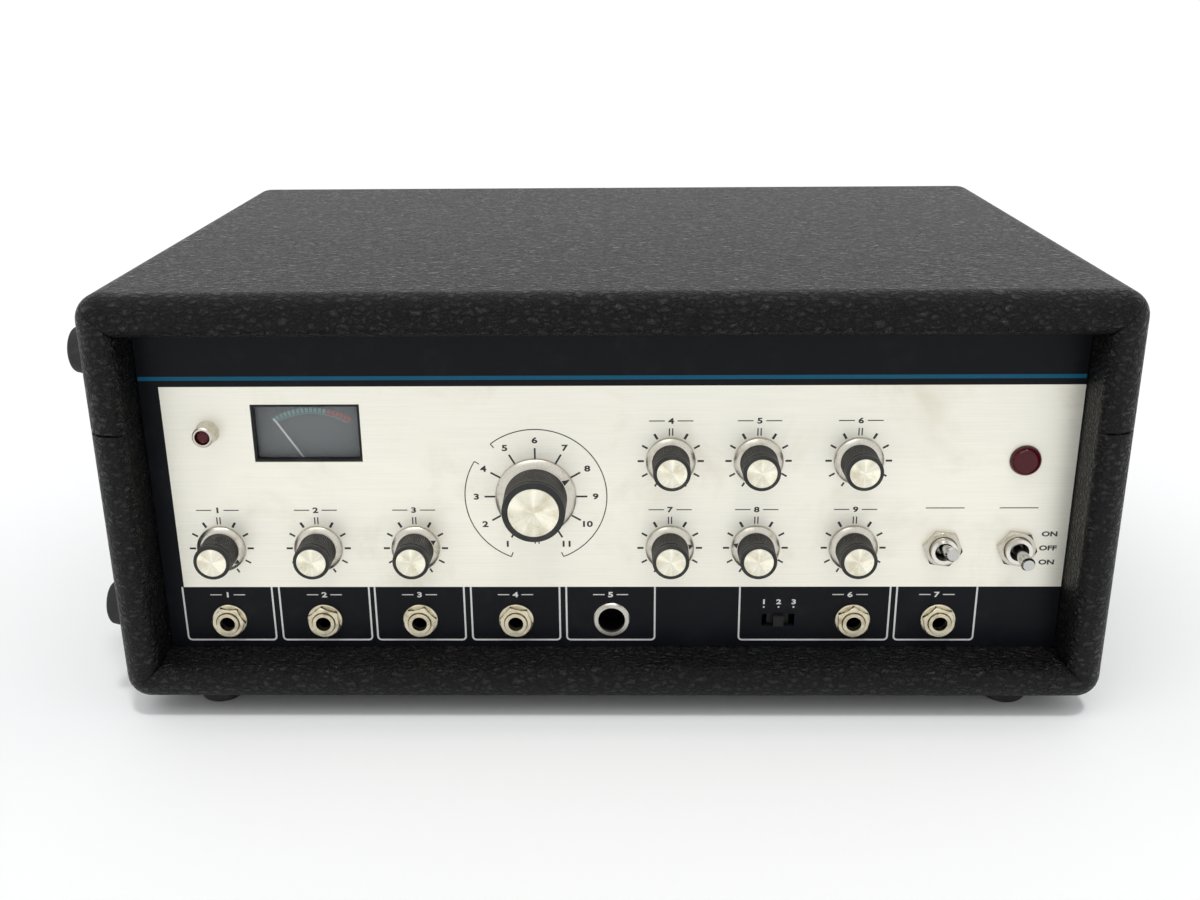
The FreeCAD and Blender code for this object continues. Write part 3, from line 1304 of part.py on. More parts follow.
def make_power_transformer():
    """Laminated core with a rounded end bell on each side."""
    tank_x, _ = tank_place()
    x = tank_x + TANK_SIZE[0] / 2 + TRANSFORMER_TANK_ROOM + TRANSFORMER_SIZE[0] / 2
    y = CHASSIS_BACK - TRANSFORMER_BACK_ROOM - TRANSFORMER_BELL[1] - TRANSFORMER_SIZE[1] / 2
    core = block(x, y, CHASSIS_FLOOR, TRANSFORMER_SIZE)
    wide, deep, high = TRANSFORMER_BELL
    lift = (TRANSFORMER_SIZE[2] - high) / 2
    shapes = [core]
    for side in (-1, 1):
        offset = side * (TRANSFORMER_SIZE[1] + deep) / 2
        bell = block(x, y + offset, CHASSIS_FLOOR + lift, TRANSFORMER_BELL)
        face = y + offset + side * deep / 2
        outer = [edge for edge in bell.Edges if abs(edge.BoundBox.YMin - face) < 1e-6
                 and abs(edge.BoundBox.YMax - face) < 1e-6]
        shapes.append(bell.makeFillet(TRANSFORMER_BELL_ROUNDING, outer))
    return group(shapes)


def tank_place():
    """Middle of the reverb tank in X and Y."""
    x = -CHASSIS_HALF_WIDTH + TANK_SIDE_ROOM + TANK_SIZE[0] / 2
    return x, CHASSIS_BACK - TANK_BACK_ROOM - TANK_SIZE[1] / 2


def make_reverb_tank():
    """Open steel channel with a transducer block at each end."""
    x, y = tank_place()
    wide, deep, high = TANK_SIZE
    bottom = CHASSIS_FLOOR + SHEET
    shell = block(x, y, CHASSIS_FLOOR, TANK_SIZE)
    shell = shell.cut(block(x, y, bottom, (wide - 2 * SHEET, deep - 2 * SHEET, high)))
    half = TANK_BLOCK_DEPTH / 2
    shapes = [shell]
    for side in (-1, 1):
        x0, x1 = sorted((x + side * (wide - SHEET) / 2, x + side * (wide / 2 - SHEET - TANK_BLOCK_WIDTH)))
        shapes.append(box(x0, x1, y - half, y + half, bottom - SHEET / 2, bottom + TANK_BLOCK_HEIGHT))
    return fuse(shapes)


def make_reverb_springs():
    """Two long springs between the transducer blocks, as plain round bars."""
    x, y = tank_place()
    reach = TANK_SIZE[0] / 2 - SHEET - TANK_BLOCK_WIDTH
    z = CHASSIS_FLOOR + TANK_SPRING_RISE
    springs = []
    for side in (-1, 1):
        place = Vector(x - reach, y + side * TANK_SPRING_PITCH / 2, z)
        springs.append(Part.makeCylinder(TANK_SPRING_RADIUS, 2 * reach, place, Vector(1, 0, 0)))
    return group(springs)


# Rear panel

def make_rear_panel():
    half_x = REAR_OPENING[0] / 2 + REAR_PANEL_LAP
    half_z = REAR_OPENING[1] / 2 + REAR_PANEL_LAP
    z = REAR_OPENING_Z
    plate = box(-half_x, half_x, REAR_PLATE_FRONT, REAR_PLATE_BACK, z - half_z, z + half_z)
    y0 = REAR_PLATE_FRONT - OVERCUT
    y1 = REAR_PLATE_BACK + OVERCUT
    holes = [
        bar_y(GLAND_X, z, y0, y1, GLAND_NECK_RADIUS + BUSHING_CLEARANCE),
        bar_y(FUSE_X, z, y0, y1, FUSE_NECK_RADIUS + BUSHING_CLEARANCE),
    ]
    for x, z in rear_screw_places():
        holes.append(bar_y(x, z, y0, y1, SCREW_HOLE_RADIUS))
    return cut(plate, holes)


def through_panel(x, outer, neck, proud, inner, bore):
    """Turned piece through the rear panel: head outside, neck through, collar inside."""
    z = REAR_OPENING_Z
    head = bar_y(x, z, REAR_PLATE_BACK, REAR_PLATE_BACK + proud, outer)
    rim = [edge for edge in head.Edges if edge.BoundBox.YMin > REAR_PLATE_BACK + proud - 1e-6]
    head = head.makeChamfer(REAR_FITTING_CHAMFER, rim)
    stem = bar_y(x, z, REAR_PLATE_FRONT - inner, REAR_PLATE_BACK + OVERCUT, neck)
    solid = fuse([head, stem])
    if bore:
        y0 = REAR_PLATE_FRONT - inner - OVERCUT
        solid = solid.cut(bar_y(x, z, y0, REAR_PLATE_BACK + proud + OVERCUT, bore))
    return solid


def make_cord_gland():
    return through_panel(
        GLAND_X, GLAND_RADIUS, GLAND_NECK_RADIUS, GLAND_PROUD, GLAND_INNER, GLAND_BORE_RADIUS)


def make_fuse_holder():
    return through_panel(FUSE_X, FUSE_RADIUS, FUSE_NECK_RADIUS, FUSE_PROUD, FUSE_INNER, None)


# Handle and catches

def handle_centre_z():
    return UNDERSIDE + HANDLE_HEIGHT


def end_cap_ys():
    """Middles of the two end caps along Y."""
    reach = HANDLE_HALF_LENGTH + END_CAP_LENGTH / 2
    return (-reach, reach)


def make_handle_strap():
    """Strap: flat ends against the side, and a bow between them."""
    x0 = RIGHT + HANDLE_GAP
    x1 = x0 + HANDLE_THICKNESS
    peak = RIGHT + HANDLE_STANDOFF
    y = HANDLE_HALF_LENGTH
    end = y + HANDLE_END_LENGTH
    shoulder = HANDLE_SHOULDER
    rise = HANDLE_SHOULDER_RISE
    z = handle_centre_z() - HANDLE_WIDTH / 2

    def edge(a, b):
        return Part.LineSegment(Vector(*a, z), Vector(*b, z)).toShape()

    def arc(a, m, b):
        return Part.Arc(Vector(*a, z), Vector(*m, z), Vector(*b, z)).toShape()

    edges = [
        edge((x0, -end), (x0, -y)),
        edge((x0, -y), (x0 + rise, -shoulder)),
        arc((x0 + rise, -shoulder), (peak - HANDLE_THICKNESS, 0), (x0 + rise, shoulder)),
        edge((x0 + rise, shoulder), (x0, y)),
        edge((x0, y), (x0, end)),
        edge((x0, end), (x1, end)),
        edge((x1, end), (x1, y)),
        edge((x1, y), (x1 + rise, shoulder)),
        arc((x1 + rise, shoulder), (peak, 0), (x1 + rise, -shoulder)),
        edge((x1 + rise, -shoulder), (x1, -y)),
        edge((x1, -y), (x1, -end)),
        edge((x1, -end), (x0, -end)),
    ]
    return Part.Face(Part.Wire(edges)).extrude(Vector(0, 0, HANDLE_WIDTH))


def make_handle_end_caps():
    """Metal cap over each end of the strap, with a pocket open to the strap's bow."""
    caps = []
    z = handle_centre_z()
    pocket = HANDLE_GAP + HANDLE_THICKNESS + HANDLE_GAP
    half_w = HANDLE_WIDTH / 2 + HANDLE_GAP
    for y in end_cap_ys():
        half_l = END_CAP_LENGTH / 2
        half_z = END_CAP_WIDTH / 2
        outer = box(RIGHT, RIGHT + END_CAP_HEIGHT, y - half_l, y + half_l, z - half_z, z + half_z)
        edges = [e for e in outer.Edges if e.BoundBox.XMin > RIGHT + END_CAP_ROUNDING]
        outer = outer.makeFillet(END_CAP_ROUNDING, edges)
        side = 1 if y > 0 else -1
        strap_end = side * (HANDLE_HALF_LENGTH + HANDLE_END_LENGTH + HANDLE_GAP)
        y0, y1 = sorted((strap_end, y - side * (half_l + OVERCUT)))
        caps.append(outer.cut(box(RIGHT, RIGHT + pocket, y0, y1, z - half_w, z + half_w)))
    return group(caps)


def mirrored_sides(shape):
    """A shape made for the right side, and its mirror image for the left."""
    return shape, shape.mirror(Vector(0, 0, 0), Vector(1, 0, 0))


def catch_plate():
    """Base plate of a catch on the right side, with two ears and the pin of the lever."""
    half = CATCH_WIDTH / 2
    side = half + CATCH_SIDE_GAP
    ear = side + CATCH_EAR
    low = CATCH_PIVOT_Z - CATCH_BARREL_RADIUS - CATCH_PLATE_MARGIN
    high = SEAM - SEAM_GROOVE_HEIGHT
    plate = box(RIGHT, RIGHT + CATCH_PLATE, -ear, ear, low, high)
    shapes = [plate]
    for y0, y1 in ((-ear, -side), (side, ear)):
        reach = CATCH_PIVOT_OUT + CATCH_BARREL_RADIUS
        ear_top = CATCH_PIVOT_Z + CATCH_BARREL_RADIUS + CATCH_PLATE_MARGIN
        shapes.append(box(RIGHT, RIGHT + reach, y0, y1, low, ear_top))
    pin_end = side + OVERCUT
    shapes.append(bar_y(RIGHT + CATCH_PIVOT_OUT, CATCH_PIVOT_Z, -pin_end, pin_end, CATCH_PIN_RADIUS))
    return fuse(shapes)


def catch_lever():
    """Lever with its barrel and hook, closed, then turned out to its released rest."""
    half = CATCH_WIDTH / 2
    pivot_x = RIGHT + CATCH_PIVOT_OUT
    out = RIGHT + CATCH_LEVER_OUT
    top = SEAM + CATCH_REACH
    barrel = bar_y(pivot_x, CATCH_PIVOT_Z, -half, half, CATCH_BARREL_RADIUS)
    blade = box(out, out + CATCH_LEVER_THICKNESS, -half, half, CATCH_PIVOT_Z, top)
    hook = box(RIGHT + CATCH_HOOK_IN, out + OVERCUT, -half, half, top - CATCH_HOOK_HEIGHT, top)
    reach = half + OVERCUT
    bore = bar_y(pivot_x, CATCH_PIVOT_Z, -reach, reach, CATCH_PIN_RADIUS + RUNNING_CLEARANCE)
    lever = fuse([barrel, blade, hook]).cut(bore)
    lever.rotate(Vector(pivot_x, 0, CATCH_PIVOT_Z), Vector(0, 1, 0), CATCH_REST)
    return lever


def catch_keeper():
    """Keeper of a catch on the upper half: a plate with a lip under the lever's hook."""
    half = CATCH_WIDTH / 2
    low = SEAM + KEEPER_RISE
    top = SEAM + KEEPER_LIP_TOP
    plate = box(RIGHT, RIGHT + CATCH_PLATE, -half, half, low, top)
    lip = box(RIGHT, RIGHT + KEEPER_LIP_OUT, -half, half, top - KEEPER_LIP_HEIGHT, top)
    return fuse([plate, lip])


def make_screws():
    """Screws of the rear panel and of the chamber cover."""
    screws = []
    for x, z in rear_screw_places():
        screws.append(screw_along_y(x, REAR_PLATE_FRONT, z, -1))
    cover_top = DECK_TOP + CHAMBER_HEIGHT + COVER_THICKNESS
    for x, y in cover_screw_places():
        screws.append(screw_down(x, y, cover_top))
    return group(screws)


def build():
    """All nodes of the unit by name."""
    shell = whole_cabinet().cut(seam_groove())
    nodes = {
        "lower_cabinet": make_lower_cabinet(shell),
        "upper_cabinet": make_upper_cabinet(shell),
        "rubber_feet": make_rubber_feet(),
        "side_feet_upper": make_side_feet_upper(),
        "front_panel": make_front_panel(),
        "potentiometers": make_potentiometers(),
        "mode_switch": make_mode_switch(),
        "jack_sockets": make_jack_sockets(),
        "jack_nuts_and_washers": make_jack_hardware(),
        "line_socket": make_line_socket(),
        "switch_bodies": make_switch_bodies(),
        "toggle_nuts": make_toggle_nuts(),
        "level_switch_slider": make_level_slider(),
        "power_lamp_lens": make_power_lamp_lens(),
        "peak_lamp_bezel": make_peak_lamp_bezel(),
        "peak_lamp_lens": make_peak_lamp_lens(),
        "lamp_holders": make_lamp_holders(),
        "meter_case": make_meter_case(),
        "meter_window": make_meter_window(),
        "meter_scale": make_meter_scale(),
        "meter_needle": make_meter_needle(),
        "chassis_frame": make_chassis_frame(),
        "transport_deck": make_transport_deck(),
        "tape_chamber_cover": make_tape_chamber_cover(),
        "tape_loop": make_tape_loop(),
        "tape_guides": make_tape_guides(),
        "tape_heads": make_tape_heads(),
        "drive_motor": make_drive_motor(),
        "capstan": make_capstan(),
        "pinch_arm": make_pinch_arm(),
        "pinch_roller": make_pinch_roller(),
        "pinch_spring": make_pinch_spring(),
        "circuit_boards": make_circuit_boards(),
        "power_transformer": make_power_transformer(),
        "reverb_tank": make_reverb_tank(),
        "reverb_springs": make_reverb_springs(),
        "rear_panel": make_rear_panel(),
        "cord_gland": make_cord_gland(),
        "fuse_holder": make_fuse_holder(),
        "handle_strap": make_handle_strap(),
        "handle_end_caps": make_handle_end_caps(),
        "catch_plates": group(mirrored_sides(catch_plate())),
        "catch_keepers": group(mirrored_sides(catch_keeper())),
        "screws": make_screws(),
    }
    nodes["catch_lever_right"], nodes["catch_lever_left"] = mirrored_sides(catch_lever())
    for name, place in knob_places().items():
        nodes[name] = make_small_knob(place, KNOB_REST[name])
    nodes["mode_knob_grip"], nodes["mode_knob_skirt"], nodes["mode_knob_cap"] = make_mode_knob()
    standby, power = toggle_places()
    nodes["standby_lever"] = make_toggle_lever(standby, TOGGLE_THROW)
    nodes["power_lever"] = make_toggle_lever(power, 0)
    return nodes


def save(nodes):
    """Shift every node to the frame whose X = 0 is the middle of the whole width, and write it."""
    os.makedirs("parts", exist_ok=True)
    for name, shape in nodes.items():
        placed = shape.copy()
        placed.translate(Vector(-ORIGIN_SHIFT, 0, 0))
        placed.exportStep(f"parts/{name}.step")
        print(name, len(placed.Solids), "valid" if placed.isValid() else "NOT VALID")


save(build())
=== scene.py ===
"""Looks of a tape echo unit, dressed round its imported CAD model.

New pieces are worked out in millimetres and become metres when their mesh is made. X runs to the
right of the control panel, Y to the back and Z up, as in the CAD model.
"""

import json
import logging
import math
from dataclasses import dataclass, field
from enum import Enum
from functools import reduce

import bmesh
import bpy
import numpy as np
from mathutils import Matrix, Vector

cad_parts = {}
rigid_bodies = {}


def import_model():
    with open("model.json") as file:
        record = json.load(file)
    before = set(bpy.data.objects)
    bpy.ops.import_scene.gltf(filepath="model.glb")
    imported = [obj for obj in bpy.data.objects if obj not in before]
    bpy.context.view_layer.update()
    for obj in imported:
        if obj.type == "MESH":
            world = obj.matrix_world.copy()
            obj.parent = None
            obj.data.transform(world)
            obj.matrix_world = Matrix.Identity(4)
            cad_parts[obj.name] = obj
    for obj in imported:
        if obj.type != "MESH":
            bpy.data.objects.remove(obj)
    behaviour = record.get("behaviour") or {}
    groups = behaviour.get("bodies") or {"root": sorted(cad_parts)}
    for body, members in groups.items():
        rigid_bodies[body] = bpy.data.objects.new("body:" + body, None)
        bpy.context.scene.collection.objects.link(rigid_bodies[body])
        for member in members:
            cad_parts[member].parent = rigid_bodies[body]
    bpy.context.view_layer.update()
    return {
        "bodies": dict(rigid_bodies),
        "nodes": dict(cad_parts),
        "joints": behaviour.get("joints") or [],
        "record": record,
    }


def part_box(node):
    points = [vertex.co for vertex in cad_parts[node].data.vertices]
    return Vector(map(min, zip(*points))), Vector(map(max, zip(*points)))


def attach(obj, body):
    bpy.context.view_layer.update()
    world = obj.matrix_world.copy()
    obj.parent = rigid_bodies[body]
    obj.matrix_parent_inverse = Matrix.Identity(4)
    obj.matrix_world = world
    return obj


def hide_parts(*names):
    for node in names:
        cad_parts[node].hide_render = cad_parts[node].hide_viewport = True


MM = 0.001
SHARP_ANGLE = math.radians(32)
MERGE_DISTANCE = 2e-6

# Half of the blur along a painted edge, in metres
SOFT_EDGE = 0.02 * MM

# Printed figures: how much wider than the plain typeface they are, how much bolder as a share of
# their height, half their thickness and how far their middle stands in front, in millimetres
FIGURE_SPREAD = 1.4
FIGURE_BOLD = 0.035
FIGURE_HALF_DEPTH = 0.02
FIGURE_RISE = 0.03

log = logging.getLogger("scene")


class Ink(Enum):
    """Inks printed on the control panel and on the meter's scale."""

    DARK = "dark"
    WHITE = "white"
    TEAL = "teal"
    GREEN = "green"
    RED = "red"


# Shapes on grids of two parameters


@dataclass
class Surface:
    """Points, faces and flat coordinates of a new piece.

    Attributes:
        points: places in millimetres, one row each.
        faces: corner numbers of each face.
        flat: two coordinates per point, in millimetres, that a finish may follow.
    """

    points: np.ndarray
    faces: list
    flat: np.ndarray | None = None


def grid_faces(rows: int, columns: int, closed: bool = False) -> list:
    """Corner numbers of the quads of a grid of rings, whose points are stored ring by ring.

    Args:
        rows: number of rings.
        columns: number of points in a ring.
        closed: True where the last ring joins the first.

    Returns:
        One list of four corner numbers for each quad.
    """
    row = np.arange(rows if closed else rows - 1)
    i, j = np.meshgrid(row, np.arange(columns), indexing="ij")
    i2 = (i + 1) % rows
    j2 = (j + 1) % columns
    quads = np.stack([i * columns + j, i2 * columns + j, i2 * columns + j2, i * columns + j2], -1)
    return quads.reshape(-1, 4).tolist()


def joined(surfaces: list) -> Surface:
    """Several surfaces as one.

    Args:
        surfaces: the surfaces to put together.

    Returns:
        One surface that holds all their points and faces.
    """
    start = 0
    faces = []
    for surface in surfaces:
        faces += [[corner + start for corner in face] for face in surface.faces]
        start += len(surface.points)
    points = np.concatenate([surface.points for surface in surfaces])
    flats = [np.zeros((len(s.points), 2)) if s.flat is None else s.flat for s in surfaces]
    return Surface(points, faces, np.concatenate(flats))


def turned(
    profile: list,
    centre: tuple,
    steps: int,
    radius_scale: np.ndarray | None = None,
    height_shift: np.ndarray | None = None,
) -> Surface:
    """Turned piece whose axis stands out of the control panel.

    The point at profile height h and radius r, at angle t clockwise from straight up, lies at
    x = r sin t, z = r cos t and y = -h from the centre. A radius of nought closes to a pole.

    Args:
        profile: (height, radius) pairs from one end of the outline to the other.
        centre: (x, y, z) of the axis at height nought.
        steps: points round the axis.
        radius_scale: optional array of rows by steps that each radius is multiplied by.
        height_shift: optional array of rows by steps that is added to each height.

    Returns:
        The closed surface, with x and z from the axis as its flat coordinates.
    """
    outline = np.asarray(profile, float)
    angle = np.linspace(0, 2 * math.pi, steps, endpoint=False)
    height = np.repeat(outline[:, :1], steps, axis=1)
    radius = np.repeat(outline[:, 1:2], steps, axis=1)
    if radius_scale is not None:
        radius = radius * radius_scale
    if height_shift is not None:
        height = height + height_shift
    x = radius * np.sin(angle)
    z = radius * np.cos(angle)
    points = np.stack([centre[0] + x, centre[1] - height, centre[2] + z], -1).reshape(-1, 3)
    closed = bool(outline[0, 1] > 0)
    faces = grid_faces(len(outline), steps, closed=closed)
    return Surface(points, faces, np.stack([x, z], -1).reshape(-1, 2))


def strip(
    path: np.ndarray,
    width: float | np.ndarray,
    y: float,
    rise: float | np.ndarray,
    thickness: float,
) -> Surface:
    """Thin raised band along a path on a plane that faces the front.

    At each path point the band reaches half its width to both sides, square to the path's
    direction, and from the plane at y minus its rise back by its thickness.

    Args:
        path: (n, 2) array of x and z.
        width: full width, one number or one per point.
        y: the plane that the band lies on.
        rise: how far the band's face stands in front of the plane, one number or one per point.
        thickness: depth of the band.

    Returns:
        The closed band.
    """
    direction = np.gradient(path, axis=0)
    direction /= np.linalg.norm(direction, axis=1, keepdims=True)
    across = np.stack([-direction[:, 1], direction[:, 0]], -1)
    half = np.broadcast_to(np.asarray(width, float) / 2, (len(path),))[:, None]
    front = y - np.broadcast_to(np.asarray(rise, float), (len(path),))
    sides = (path + across * half, path - across * half)
    rails = []
    for edge, depth in ((sides[0], 0), (sides[1], 0), (sides[1], thickness), (sides[0], thickness)):
        rails.append(np.stack([edge[:, 0], front + depth, edge[:, 1]], -1))
    points = np.stack(rails, 1).reshape(-1, 3)
    last = 4 * (len(path) - 1)
    faces = grid_faces(len(path), 4) + [[3, 2, 1, 0], [last, last + 1, last + 2, last + 3]]
    return Surface(points, faces)


def line(x0: float, z0: float, x1: float, z1: float) -> np.ndarray:
    """Straight path of two points."""
    return np.array([[x0, z0], [x1, z1]], float)


def faded(color: tuple, share: float) -> tuple:
    """Darker copy of a colour."""
    return tuple(value * share for value in color)


def arc(x: float, z: float, radius: float, start: float, end: float, steps: int = 24) -> np.ndarray:
    """Path round a centre.

    Args:
        x: centre.
        z: centre.
        radius: distance from the centre.
        start: first angle in degrees, clockwise from straight up.
        end: last angle in degrees.
        steps: number of points.

    Returns:
        The path's points.
    """
    angle = np.radians(np.linspace(start, end, steps))
    return np.stack([x + radius * np.sin(angle), z + radius * np.cos(angle)], -1)


def spoke(x: float, z: float, angle: float, inner: float, outer: float) -> np.ndarray:
    """Straight path that points away from a centre, at an angle clockwise from straight up."""
    direction = np.array([math.sin(math.radians(angle)), math.cos(math.radians(angle))])
    return np.array([x, z]) + np.outer([inner, outer], direction)


def figures(text: str, x: float, z: float, y: float, height: float) -> Surface:
    """Plain printed figures or letters as a thin raised mesh, centred on a place.

    Args:
        text: what is printed.
        x: middle of the word.
        z: middle of its height.
        y: the plane that it lies on.
        height: height of a figure.

    Returns:
        The printed mesh.
    """
    curve = bpy.data.curves.new("figures", "FONT")
    curve.body = text
    curve.align_x = "CENTER"
    curve.align_y = "CENTER"
    curve.resolution_u = 4
    curve.offset = FIGURE_BOLD
    curve.extrude = FIGURE_HALF_DEPTH / height
    writing = bpy.data.objects.new("figures", curve)
    bpy.context.scene.collection.objects.link(writing)
    bpy.context.view_layer.update()
    evaluated = writing.evaluated_get(bpy.context.evaluated_depsgraph_get())
    mesh = bpy.data.meshes.new_from_object(evaluated)
    raw = np.zeros(len(mesh.vertices) * 3)
    mesh.vertices.foreach_get("co", raw)
    raw = raw.reshape(-1, 3)
    faces = [list(polygon.vertices) for polygon in mesh.polygons]
    bpy.data.objects.remove(writing)
    bpy.data.meshes.remove(mesh)
    bpy.data.curves.remove(curve)
    low = raw.min(0)
    high = raw.max(0)
    scale = height / (high[1] - low[1])
    middle = (low + high) / 2
    flat = (raw - middle) * [scale * FIGURE_SPREAD, scale, scale]
    points = np.stack([x + flat[:, 0], y - FIGURE_RISE - flat[:, 2], z + flat[:, 1]], -1)
    return Surface(points, faces)


def make_piece(
    name: str,
    surface: Surface,
    finish: "Finish",
    body: str,
    replaces: tuple = (),
) -> None:
    """Turn a surface into a finished Blender piece that rides on a body.

    Args:
        name: name of the piece.
        surface: its points and faces, in millimetres.
        finish: what it is made of.
        body: the CAD body that it moves with.
        replaces: CAD nodes that it stands for.
    """
    mesh = bpy.data.meshes.new(name)
    mesh.from_pydata((surface.points * MM).tolist(), [], surface.faces)
    if surface.flat is not None:
        layer = mesh.uv_layers.new(name="flat")
        corners = np.zeros(len(mesh.loops), int)
        mesh.loops.foreach_get("vertex_index", corners)
        layer.data.foreach_set("uv", (surface.flat[corners] * MM).astype(np.float32).ravel())
    tidy_mesh(mesh)
    mesh.materials.append(finish.material())
    piece = bpy.data.objects.new(name, mesh)
    bpy.context.scene.collection.objects.link(piece)
    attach(piece, body)
    if replaces:
        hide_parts(*replaces)


def tidy_mesh(mesh: bpy.types.Mesh) -> None:
    """Merge doubled points, turn the faces outward and mark the sharp edges.

    Args:
        mesh: the mesh, which is changed in place.
    """
    work = bmesh.new()
    work.from_mesh(mesh)
    bmesh.ops.remove_doubles(work, verts=work.verts, dist=MERGE_DISTANCE)
    bmesh.ops.dissolve_degenerate(work, edges=work.edges, dist=MERGE_DISTANCE)
    bmesh.ops.recalc_face_normals(work, faces=work.faces)
    work.to_mesh(mesh)
    work.free()
    mesh.shade_smooth()
    mesh.set_sharp_from_angle(angle=SHARP_ANGLE)


# Finishes


class Graph:
    """Builder of one node material on object coordinates."""

    def __init__(self, name: str) -> None:
        """Start an empty material with its shader and output.

        Args:
            name: name of the material.
        """
        self.material = bpy.data.materials.new(name)
        self.material.use_nodes = True
        self.tree = self.material.node_tree
        self.tree.nodes.clear()
        self.shader = self.tree.nodes.new("ShaderNodeBsdfPrincipled")
        output = self.tree.nodes.new("ShaderNodeOutputMaterial")
        self.tree.links.new(self.shader.outputs[0], output.inputs[0])

    def add(self, kind: str, inputs: dict | None = None, **settings: object) -> bpy.types.ShaderNode:
        """Add a node.

        Args:
            kind: node type without its "ShaderNode" start.
            inputs: input values or sockets by name or number.
            settings: properties of the node.

        Returns:
            The node.
        """
        node = self.tree.nodes.new("ShaderNode" + kind)
        for key, value in settings.items():
            setattr(node, key, value)
        for key, value in (inputs or {}).items():
            self.feed(node.inputs[key], value)
        return node

    def feed(self, socket: bpy.types.NodeSocket, value: object) -> None:
        """Fill an input.

        Args:
            socket: the input.
            value: a socket that is linked to it, or the input's own value.
        """
        if isinstance(value, bpy.types.NodeSocket):
            self.tree.links.new(value, socket)
        else:
            socket.default_value = value

    def point(self, scale: tuple = (1, 1, 1), turn: tuple = (0, 0, 0)) -> bpy.types.NodeSocket:
        """Object coordinates.

        Args:
            scale: stretch along X, Y and Z.
            turn: turn about X, Y and Z in radians.

        Returns:
            The coordinates, in metres.
        """
        coordinates = self.add("TexCoord").outputs["Object"]
        if scale == (1, 1, 1) and turn == (0, 0, 0):
            return coordinates
        mapping = self.add("Mapping", {"Vector": coordinates, "Scale": scale, "Rotation": turn})
        return mapping.outputs[0]

    def noise(
        self,
        size: float,
        point: bpy.types.NodeSocket | None = None,
        detail: float = 3.0,
        rough: float = 0.5,
        twist: float = 0.0,
    ) -> bpy.types.NodeSocket:
        """Cloudy noise.

        Args:
            size: size of its features in millimetres.
            point: coordinates, or None for plain object coordinates.
            detail: number of finer layers.
            rough: strength of the finer layers.
            twist: how much it is distorted.

        Returns:
            Its value, from nought to one.
        """
        place = self.point() if point is None else point
        values = {"Vector": place, "Scale": 1 / (size * MM), "Detail": detail, "Roughness": rough}
        values["Distortion"] = twist
        return self.add("TexNoise", values).outputs["Fac"]

    def cells(self, size: float, point: bpy.types.NodeSocket) -> bpy.types.NodeSocket:
        """Distance to the nearest edge in a pattern of cells about as large as size, in millimetres."""
        values = {"Vector": point, "Scale": 1 / (size * MM)}
        return self.add("TexVoronoi", values, feature="DISTANCE_TO_EDGE").outputs["Distance"]

    def calc(self, operation: str, first: object, second: object = 0.0) -> bpy.types.NodeSocket:
        """Result of a sum on one or two values."""
        return self.add("Math", {0: first, 1: second}, operation=operation).outputs[0]

    def times(self, *factors: object) -> bpy.types.NodeSocket:
        """Product of two or more values."""
        return reduce(lambda first, second: self.calc("MULTIPLY", first, second), factors)

    def span(
        self, value: object, low: float, high: float, out_low: float = 0.0, out_high: float = 1.0,
    ) -> bpy.types.NodeSocket:
        """Value moved smoothly from one range to another and kept inside it."""
        inputs = {"Value": value, "From Min": low, "From Max": high, "To Min": out_low, "To Max": out_high}
        return self.add("MapRange", inputs, interpolation_type="SMOOTHSTEP").outputs[0]

    def mix(self, factor: object, first: object, second: object) -> bpy.types.NodeSocket:
        """Colour between two colours.

        Args:
            factor: share of the second colour.
            first: a socket or a (red, green, blue).
            second: a socket or a (red, green, blue).

        Returns:
            The mixed colour.
        """
        node = self.add("Mix", data_type="RGBA")
        self.feed(node.inputs["Factor"], factor)
        for number, color in ((6, first), (7, second)):
            self.feed(node.inputs[number], (*color, 1) if isinstance(color, tuple) else color)
        return node.outputs[2]

    def bump(self, height: bpy.types.NodeSocket, depth: float) -> bpy.types.NodeSocket:
        """Normal of a surface whose height varies by a depth in millimetres."""
        return self.add("Bump", {"Height": height, "Distance": depth * MM, "Strength": 1.0}).outputs[0]

    def between(self, value: object, low: float, high: float) -> bpy.types.NodeSocket:
        """One where a value lies between two limits, with a soft edge, and nought elsewhere."""
        above = self.span(value, low - SOFT_EDGE, low + SOFT_EDGE)
        return self.times(above, self.span(value, high - SOFT_EDGE, high + SOFT_EDGE, 1.0, 0.0))

    def dress(self, **values: object) -> None:
        """Set or link the shader's inputs; underscores stand for spaces in their names."""
        for key, value in values.items():
            self.feed(self.shader.inputs[key.replace("_", " ")], value)


@dataclass(frozen=True)
class Finish:
    """What a piece is made of; the material is built once and kept.

    Attributes:
        name: name of the material.
        color: main colour, linear.
    """

    name: str
    color: tuple

    def material(self) -> bpy.types.Material:
        """The node material, built the first time that it is asked for."""
        known = bpy.data.materials.get(self.name)
        if known is not None:
            return known
        graph = Graph(self.name)
        self.paint(graph)
        return graph.material

    def paint(self, graph: Graph) -> None:
        """Fill in the material's nodes; each kind of finish has its own way.

        Args:
            graph: the material's graph.
        """
        raise NotImplementedError


